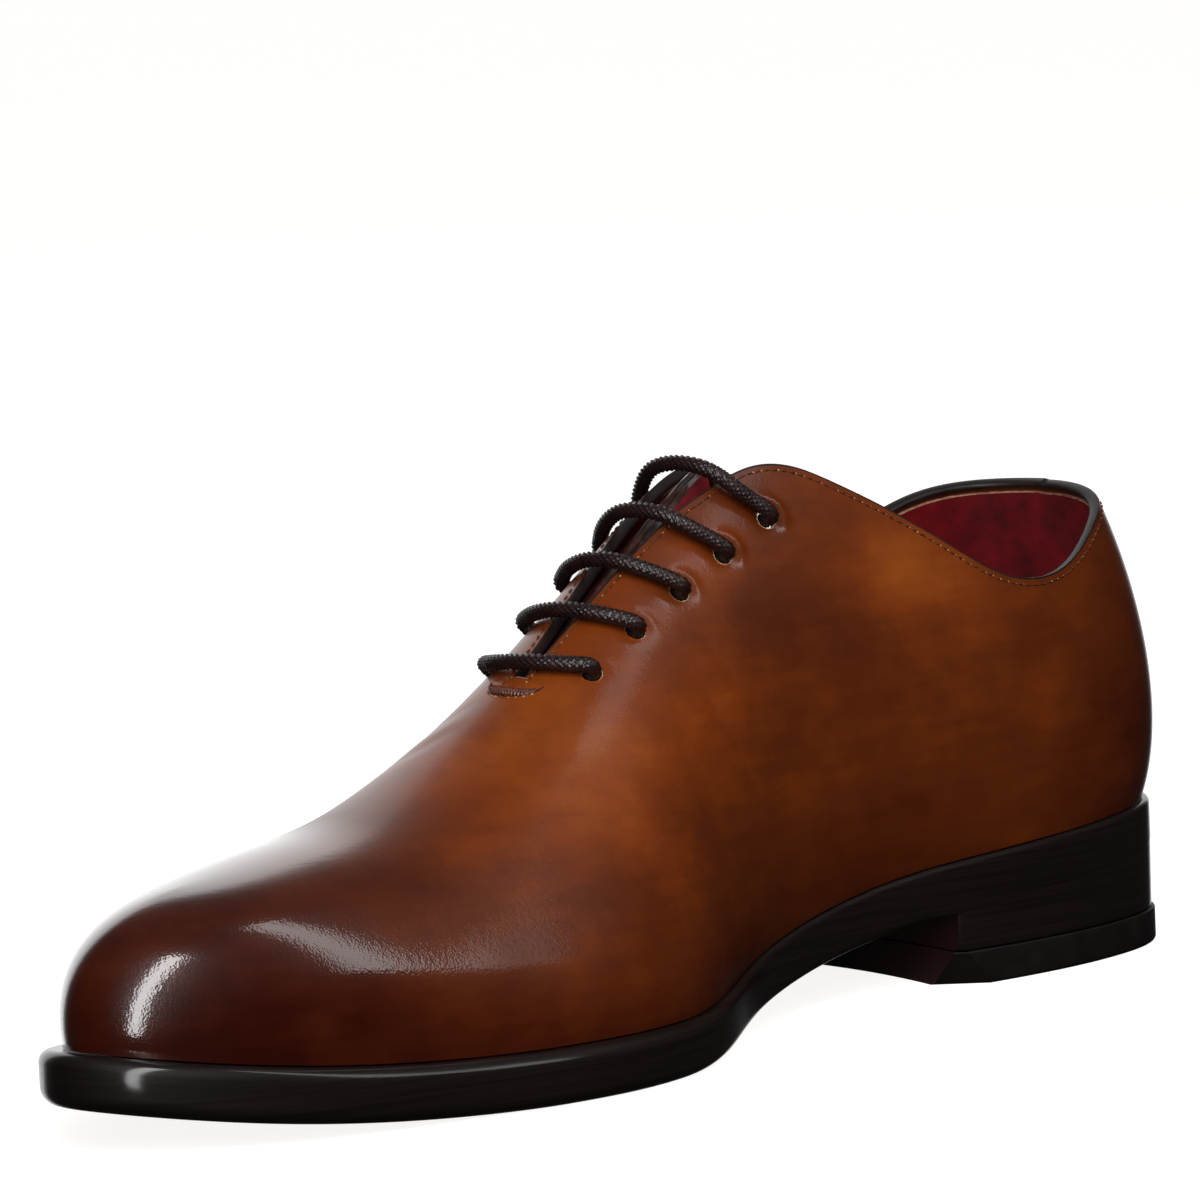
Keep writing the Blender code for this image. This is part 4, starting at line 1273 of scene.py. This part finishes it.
sleeves = grow(
    "eyelet_edges",
    sleeve_tree,
    sleeve_inputs,
    [place - out * (SLEEVE_DEPTH / 2 + SLEEVE_SUNK) for place, out, _, _ in frames],
    {"Radius": EYELET_HOLE / 2 - 0.00008, "Wall": 0.00016, "Depth": SLEEVE_DEPTH, "Edge": cream},
    {"out": [out for _, out, _, _ in frames]},
    chain=False,
)
belongs(sleeves, "upper_leather")

# %% [markdown]
# ## The bottom
# The welt, the outsole, the stacked heel and its rubber top piece are layers cut to nearly the same
# outline, pressed together, trimmed as one and polished with black wax. Each layer is
# a ring of rows up its side, closed by chords below and above.

# %% Black wax, painted leather and rubber
edge_wax, tree, shader = start_material(
    "black waxed sole edge",
    roughness=0.5,
    ior=1.5,
    specular_ior_level=0.2,
    coat_weight=0.55,
    coat_roughness=0.12,
)
spot = add_node(tree, "ShaderNodeTexCoord").outputs["Object"]
tool_marks = add_node(tree, "ShaderNodeMapping", {"Scale": (25, 25, 1600)}, {"Vector": spot})
marks = add_node(tree, "ShaderNodeTexNoise", {"Scale": 1.0, "Detail": 3}, {"Vector": tool_marks.outputs[0]})
black = ramp(tree, marks.outputs["Fac"], ((0.3, "#0f0a08"), (0.7, "#1b1411")))
tree.links.new(black, shader.inputs["Base Color"])
shallow = {"Strength": 0.25, "Distance": 0.00008}
bump = add_node(tree, "ShaderNodeBump", shallow, {"Height": marks.outputs["Fac"]})
tree.links.new(bump.outputs[0], shader.inputs["Normal"])

underside, tree, shader = start_material(
    "burgundy painted sole leather", roughness=0.4, coat_weight=0.3, coat_roughness=0.3
)
mottle(tree, shader, ((0.3, "#1c0508"), (0.7, "#30090e")), Scale=60, Detail=5)
roughen(tree, shader, 0.25, 0.0001, Scale=1200, Detail=3)

rubber, tree, shader = start_material(
    "moulded rubber top piece", roughness=0.6, ior=1.52, specular_ior_level=0.3
)
mottle(tree, shader, ((0.3, "#0e0b0a"), (0.7, "#191412")), Scale=180, Detail=4)


# %% Layers
SOLE_RUNS = np.linspace(0, RUN, 181)
ACROSS = 8


def sole_foot(run, side, inset, _):
    return sole_edge(run, side, inset)


def layer(name, profile, finishes, foot=sole_foot, under=0, over=0, ring=None, chords=None, front=()):
    """One layer of the bottom. Rows of (inset, height) go up its side and chords fill it."""
    whole = np.concatenate([SOLE_RUNS, SOLE_RUNS[-2:0:-1]])
    run, side = ring or (whole, np.where(np.arange(len(whole)) < len(SOLE_RUNS), 1, -1))
    chords = chords or len(SOLE_RUNS)
    count = len(run)
    edge_x = ring_at(run)[:, 0]
    rows = []
    for inset, height in profile:
        inset = inset(edge_x) if callable(inset) else inset + 0 * edge_x
        spot = foot(run, side, inset, float(height(np.array(BREAST_X))))
        rows.append(np.column_stack([spot, height(spot[:, 0])]))
    points = [point for row in rows for point in row]
    faces, slots = [], []
    for row in range(len(profile) - 1):
        for i in range(count):
            j = (i + 1) % count
            faces.append((row * count + i, row * count + j, (row + 1) * count + j, (row + 1) * count + i))
            slots.append(1 if i in front else 0)
    for start, slot in ((0, under), ((len(profile) - 1) * count, over)):
        before = None
        for k in range(chords):
            near, far = start + k, start + (count - k) % count
            chord = [near] * (ACROSS + 1)
            if near != far:
                between = []
                for step in range(1, ACROSS):
                    points.append(points[near] + (points[far] - points[near]) * step / ACROSS)
                    between.append(len(points) - 1)
                chord = [near, *between, far]
            if before:
                for a, b, c, d in zip(before[:-1], chord[:-1], chord[1:], before[1:]):
                    face = [p for n, p in enumerate((a, b, c, d)) if p not in (a, b, c, d)[:n]]
                    if len(face) > 2:
                        faces.append(face)
                        slots.append(slot)
            before = chord
        ahead = [start + i for i in range(chords, count - chords + 1)]
        if len(ahead) > 2:
            faces.append(ahead + before[::-1])
            slots.append(slot)
    mesh = mesh_from(name, points, faces, slots)
    face_outward(mesh)
    mesh.set_sharp_from_angle(angle=math.radians(45))
    print(name, "faces:", len(faces))
    return publish(name, mesh, finishes)


def rounded(radius, level, top, inset=0.0, steps=6):
    """Rows of a quarter round at the top or the bottom edge of a layer; radius depends on x."""
    radius = radius if callable(radius) else lambda x, size=radius: size + 0 * x
    rows = []
    for step in range(steps + 1):
        turn = math.pi / 2 * (step if top else steps - step) / steps
        sideways, rise = 1 - math.cos(turn), (-1 if top else 1) * (1 - math.sin(turn))
        rows.append(
            (
                lambda x, share=sideways: inset + radius(x) * share,
                lambda x, share=rise: level(x) + radius(x) * share,
            )
        )
    return rows


def split_z(x):
    """The joint between the welt and the outsole."""
    return seat_z(x) - WELT_THICKNESS


def edge_round(x):
    """The outsole's lower edge is round ahead of the heel and cut flush with the stack over it."""
    ahead = smooth_step((x - BREAST_X) / 0.010)
    return 0.0001 + 0.0018 * ahead + 0.0013 * smooth_step((x - BREAST_X) / 0.140)


def welt_round(x):
    """The welt's upper edge is nearly square at the heel and a full round at the toe."""
    return 0.0012 + 0.0016 * smooth_step((x - BREAST_X) / 0.140)


welt = layer(
    "welt",
    [(0.004, lambda x: split_z(x) + 0.00002), (0.0, lambda x: split_z(x) + 0.00002)]
    + rounded(welt_round, seat_z, True)
    + [(0.004, seat_z)],
    [edge_wax],
)
belongs(welt, "sole_edge", "welt")
outsole = layer(
    "outsole",
    [(0.004, tread_z)]
    + rounded(edge_round, tread_z, False)
    + [(0.0, split_z), (0.004, split_z)],
    [edge_wax, underside],
    under=1,
)
belongs(outsole, "sole_edge", "outsole")

# %% The heel
BREAST_RUN = float(run_at(BREAST_X))
CORNER_RUN = float(run_at(BREAST_X - CORNER_CUT))
BREAST_POINTS = 17
PROUD_FADE = 0.035


def heel_foot(run, side, inset, level):
    """The heel's outline at a level; across the breast the side goes from 1 to -1."""
    cut = max(CORNER_CUT * (1 - level / CORNER_RISE), CORNER_LEFT)
    proud = 1 - smooth_step((ring_at(run)[:, 0] + HEEL_CENTRE) / PROUD_FADE)
    proud = proud * TOP_PIECE_PROUD * (level < TOP_PIECE + CLEAR / 2)
    spot = sole_edge(run, np.sign(side + 1e-6), inset - proud)
    spot[run == CORNER_RUN] = sole_edge(run_at(BREAST_X - cut), 1, inset[0])
    medial = sole_edge(BREAST_RUN, 1, inset[0]) - (0.0, cut)
    lateral = sole_edge(run_at(BREAST_X - BREAST_SLANT), -1, inset[0])
    breast = run == BREAST_RUN
    share = ((1 - side[breast]) / 2)[:, None]
    spot[breast] = medial + (lateral - medial) * share - BREAST_HOLLOW * 4 * share * (1 - share) * [1.0, 0.0]
    return spot


behind = float(run_at(BREAST_X - BREAST_SLANT - BREAST_HOLLOW))
side_runs = np.linspace(0, behind, 60)
breast_runs = np.full(BREAST_POINTS, BREAST_RUN)
heel_run = np.concatenate([side_runs, [CORNER_RUN], breast_runs, side_runs[:0:-1]])
heel_side = np.concatenate([np.ones(61), np.linspace(1, -1, BREAST_POINTS), -np.ones(59)])
front = range(61, 60 + BREAST_POINTS)
heel = {"foot": heel_foot, "ring": (heel_run, heel_side), "chords": 60, "front": front}
stack_rows = rounded(0.0003, lambda x: TOP_PIECE + CLEAR + 0 * x, False, inset=0.0003, steps=2)
stack_rows += [(0.0003, lambda x: CORNER_RISE + 0 * x)]
stack_rows += [(0.0001, lambda x: tread_z(x) - 0.00003), (0.0010, lambda x: tread_z(x) - 0.00003)]
stack = layer("heel_stack", stack_rows, [edge_wax, underside], **heel)
belongs(stack, "heel_leather", "heel_stack")
piece_rows = rounded(0.0010, lambda x: 0 * x, False, inset=0.0002, steps=4)
piece_rows += rounded(0.0004, lambda x: TOP_PIECE + 0 * x, True, inset=0.0002, steps=4)
piece_rows += [(0.0006, lambda x: TOP_PIECE + 0 * x)]
top_piece = layer("heel_top_piece", piece_rows, [rubber, underside], **heel)
belongs(top_piece, "top_piece_rubber", "heel_top_piece")


# %% The sock
INSOLE_THICKNESS = 0.0030


def sock_foot(run, side, inset, _):
    place = np.where(np.asarray(side) > 0, run, 2 * RUN - np.asarray(run))
    return sole_edge(run, side, ring_at(place)[..., 7] + WALL + CLEAR * 2 + inset)


sock = layer(
    "sock",
    rounded(0.0005, lambda x: seat_z(x) + CLEAR, False, steps=2)
    + rounded(0.0008, lambda x: seat_z(x) + CLEAR + INSOLE_THICKNESS, True, steps=4),
    [suede],
    sock_foot,
)
belongs(sock, "sock_suede", "insole")

# %% [markdown]
# ## The tongue
# The tongue is a strip of thin glazed calf under the facings. It has been pushed into a few
# long folds by the lace, and it shows as two dark glossy ridges in the slit.

# %% Glazed calf and the tongue
glazed, tree, shader = start_material(
    "dark glazed calf", roughness=0.4, ior=1.5, coat_weight=0.4, coat_roughness=0.12
)
mottle(tree, shader, ((0.3, "#1a0a07"), (0.7, "#3a1710")), Scale=160, Detail=5)
roughen(tree, shader, 0.5, 0.0004, Scale=420, Detail=4, Distortion=0.6)

LACE = 0.0034
TONGUE_THICKNESS = 0.0018
TONGUE_SHORT = 0.0028
TONGUE_TAIL = 0.012
TONGUE_HALF = 0.019
TONGUE_TAPER, TONGUE_SINK = 0.20, 0.012
TONGUE_TOP_CORNER, TONGUE_TAIL_CORNER = 0.006, 0.010
TONGUE_ROWS, TONGUE_COLUMNS = 120, 80
TONGUE_GAP = 0.0008
# Middle, reach and height of each long fold across the tongue
TONGUE_FOLDS = ((1.8, 1.0, 1.0), (-1.8, 1.1, 0.8), (0.0, 0.9, -0.9))
# Where the red suede back shows: beyond this many mm on the medial side, above this share
RED_FROM, RED_ABOVE = 2.8, 0.76


def tongue_depth(spread, x, side):
    under, between = WALL + LACE + 4 * CLEAR, WALL + TONGUE_GAP
    room = eyelet_spread(x, side) - LACE
    share = smooth_step((spread - room * 0.35) / (room * 0.5))
    closed = smooth_step((x - station_x(THROAT) + TONGUE_SINK) / TONGUE_SINK)
    return between + (under - between) * np.maximum(share, closed)


def make_tongue():
    top_x = station_x(FACING_TOP) + TONGUE_SHORT
    tail_x = station_x(THROAT) + TONGUE_TAIL
    share, across = np.meshgrid(
        np.linspace(0, 1, TONGUE_ROWS + 1), np.linspace(-1, 1, TONGUE_COLUMNS + 1), indexing="ij"
    )
    side = np.where(across >= 0, 1, -1)
    wide = np.abs(across)
    width = TONGUE_HALF * (1 - TONGUE_TAPER * (1 - share)) * wide
    x = tail_x + (top_x - tail_x) * share
    x = x + TONGUE_TOP_CORNER * wide**3 * share**6 - TONGUE_TAIL_CORNER * wide**3 * (1 - share) ** 4
    run = run_at(x, 2)
    up = share_beside(meridian(run, side), width)
    points = last_point(run, side, up)
    out = last_normal(run, side, up)
    blend = smooth_step(width / 0.002)[..., None]
    out = ridge_normal(x) * (1 - blend) + out * blend
    out /= np.linalg.norm(out, axis=-1, keepdims=True)
    signed = width * side / MM
    free = smooth_step((station_x(THROAT) - x) / TONGUE_SINK) * smooth_step((7.5 - np.abs(signed)) / 3)
    wave = np.zeros_like(signed)
    for middle, reach, height in TONGUE_FOLDS:
        wave += height * np.exp(-(((signed - middle) / reach) ** 2))
    wave *= 0.75 + 0.25 * np.sin(x / MM * 0.9) * np.sin(x / MM * 0.37 + 1)
    depth = tongue_depth(width, x, side) - free * wave * 0.75 * MM
    front = points - out * depth[..., None]
    behind = points - out * (depth + TONGUE_THICKNESS)[..., None]
    wanted = np.arange(front.shape[0] * front.shape[1]).reshape(front.shape[:2])
    faces = plate_faces(wanted)
    turned_up = (signed[:-1, :-1] > RED_FROM) & (share[:-1, :-1] > RED_ABOVE)
    slots = list(turned_up.ravel().astype(int)) + [1] * turned_up.size
    slots += [0] * (len(faces) - len(slots))
    mesh = mesh_from("tongue", np.concatenate([front.reshape(-1, 3), behind.reshape(-1, 3)]), faces, slots)
    face_outward(mesh)
    mesh.set_sharp_from_angle(angle=math.radians(50))
    return publish("tongue", mesh, [glazed, suede])


tongue = make_tongue()
belongs(tongue, "tongue_leather", "tongue")

# %% [markdown]
# ## The lace
# A round waxed lace is a braid of thin strands over a core. It runs straight across between each pair
# of eyelets and climbs out of sight under the facings, and both ends stop below the top
# eyelets. The braid's diamonds are drawn 1.4 mm long, a little coarser than real ones. They are
# real relief, because the light catches each one.

# %% The lace's route
BAR_ARCH_BOTTOM, BAR_ARCH_TOP = 0.0006, 0.0046
BAR_SAG_BOTTOM, BAR_SAG_TOP, BAR_BULGE = 0.0042, 0.0026, 0.0012


def clear_of_upper(point):
    """Moves a point of the lace out until the lace lies on the leather, not in it."""
    run = run_at(point[0], 2)
    side = 1 if point[1] > ring_at(run)[3] else -1
    handles = meridian(run, side)
    share = share_beside(handles, abs(point[1] - handles[3, 1]))
    out = last_normal(run, side, share)
    over = np.dot(point - along_meridian(handles, share), out)
    return point + out * max(0.0, LACE / 2 + CLEAR * 1.3 - over)


def lace_route():
    """Straight bars over the throat, joined by runs under the facings."""
    under = WALL + LACE / 2 + CLEAR * 1.5
    first_x = station_x(THROAT) - EYELET_START
    top_x = first_x - (EYELETS - 1) * EYELET_PITCH
    strand = EYELETS + 2
    route = []
    side = 1
    for number in range(strand):
        x = top_x + (first_x - top_x) * number / strand
        route.append(beside(x, side, eyelet_spread(x, side) + LACE + CLEAR * 3, under))
    for number in range(EYELETS):
        climb = (number / (EYELETS - 1)) ** 0.35
        arch = BAR_ARCH_BOTTOM + (BAR_ARCH_TOP - BAR_ARCH_BOTTOM) * climb
        sag = BAR_SAG_BOTTOM + (BAR_SAG_TOP - BAR_SAG_BOTTOM) * climb
        near, near_out = eyelet_frame(number, side)[:2]
        far, far_out = eyelet_frame(number, -side)[:2]
        lift = ridge_normal(near[0])
        toeward = np.array([lift[2], 0.0, -lift[0]])
        for depth in (-under * 0.96, -WALL * 0.5, LACE * 0.52):
            route.append(near + near_out * depth)
        for share in (0.11, 0.23, 0.36, 0.5, 0.64, 0.77, 0.89):
            curve = math.sin(math.pi * (0.10 + 0.80 * share)) ** 0.8
            bulge = (near_out * (1 - share) + far_out * share) * BAR_BULGE
            point = near + (far - near) * share + lift * arch * curve
            slack = (bulge + toeward * sag) * math.sin(math.pi * share)
            route.append(clear_of_upper(point + slack))
        for depth in (LACE * 0.52, -WALL * 0.5, -under * 0.96):
            route.append(far + far_out * depth)
        side = -side
        if number < EYELETS - 1:
            x = first_x - (number + 0.5) * EYELET_PITCH
            route.append(beside(x, side, eyelet_spread(x, side) + 0.0004, under))
    return np.array(route)


# %% Braid
BRAID_STEP = 0.00024
BRAID_SIDES = 32
DIAMONDS = 8
DIAMOND_LENGTH = 0.0014
BRAID_RELIEF = 0.24

waxed, tree, shader = start_material(
    "waxed cotton braid", roughness=0.45, ior=1.45, coat_weight=0.35, coat_roughness=0.1
)
mottle(tree, shader, ((0.3, "#140a09"), (0.7, "#2c1715")), Scale=320, Detail=4)
roughen(tree, shader, 0.4, 0.00008, Scale=2600, Detail=3)


def make_lace():
    route = lace_route()
    steps = np.linalg.norm(np.diff(route, axis=0), axis=1)
    knots = np.concatenate([[0], np.cumsum(np.sqrt(steps))])
    path = even_path(spline(knots, route)(np.linspace(0, knots[-1], 2400)), BRAID_STEP)
    along = np.gradient(path, axis=0)
    along /= np.linalg.norm(along, axis=1, keepdims=True)
    first = np.cross(along[0], (0, 0, 1.0))
    first /= np.linalg.norm(first)
    sideways = [first]
    for k in range(1, len(path)):
        carried = sideways[-1] - along[k] * np.dot(sideways[-1], along[k])
        sideways.append(carried / np.linalg.norm(carried))
    sideways = np.array(sideways)
    above = np.cross(along, sideways)
    turn = np.linspace(0, 2 * np.pi, BRAID_SIDES, endpoint=False)
    travelled = np.arange(len(path)) * BRAID_STEP
    u = DIAMONDS * turn[None, :] / 2
    v = np.pi * travelled[:, None] / DIAMOND_LENGTH
    strands = np.abs(np.sin(u + v) * np.sin(u - v)) ** 0.8
    radius = LACE / 2 * (1 - BRAID_RELIEF + BRAID_RELIEF * strands)
    ring = np.cos(turn)[None, :, None] * sideways[:, None] + np.sin(turn)[None, :, None] * above[:, None]
    points = path[:, None] + radius[..., None] * ring
    index = np.arange(points.shape[0] * BRAID_SIDES).reshape(points.shape[:2])
    faces = grid_faces(np.concatenate([index, index[:, :1]], axis=1), closed=False)
    faces += [[int(p) for p in index[0]], [int(p) for p in index[-1][::-1]]]
    mesh = mesh_from("lace", points.reshape(-1, 3), faces)
    face_outward(mesh)
    print("lace length, mm:", round(1000 * len(path) * BRAID_STEP), "faces:", len(faces))
    return publish("lace", mesh, [waxed])


lace = make_lace()
belongs(lace, "lace_cord", "lace")

# %% Finish
size = {"cad": [list(corner) for corner in cad_box], "visual": [list(corner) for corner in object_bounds()]}
print("visual box, mm:", [[round(1000 * value, 1) for value in corner] for corner in size["visual"]])
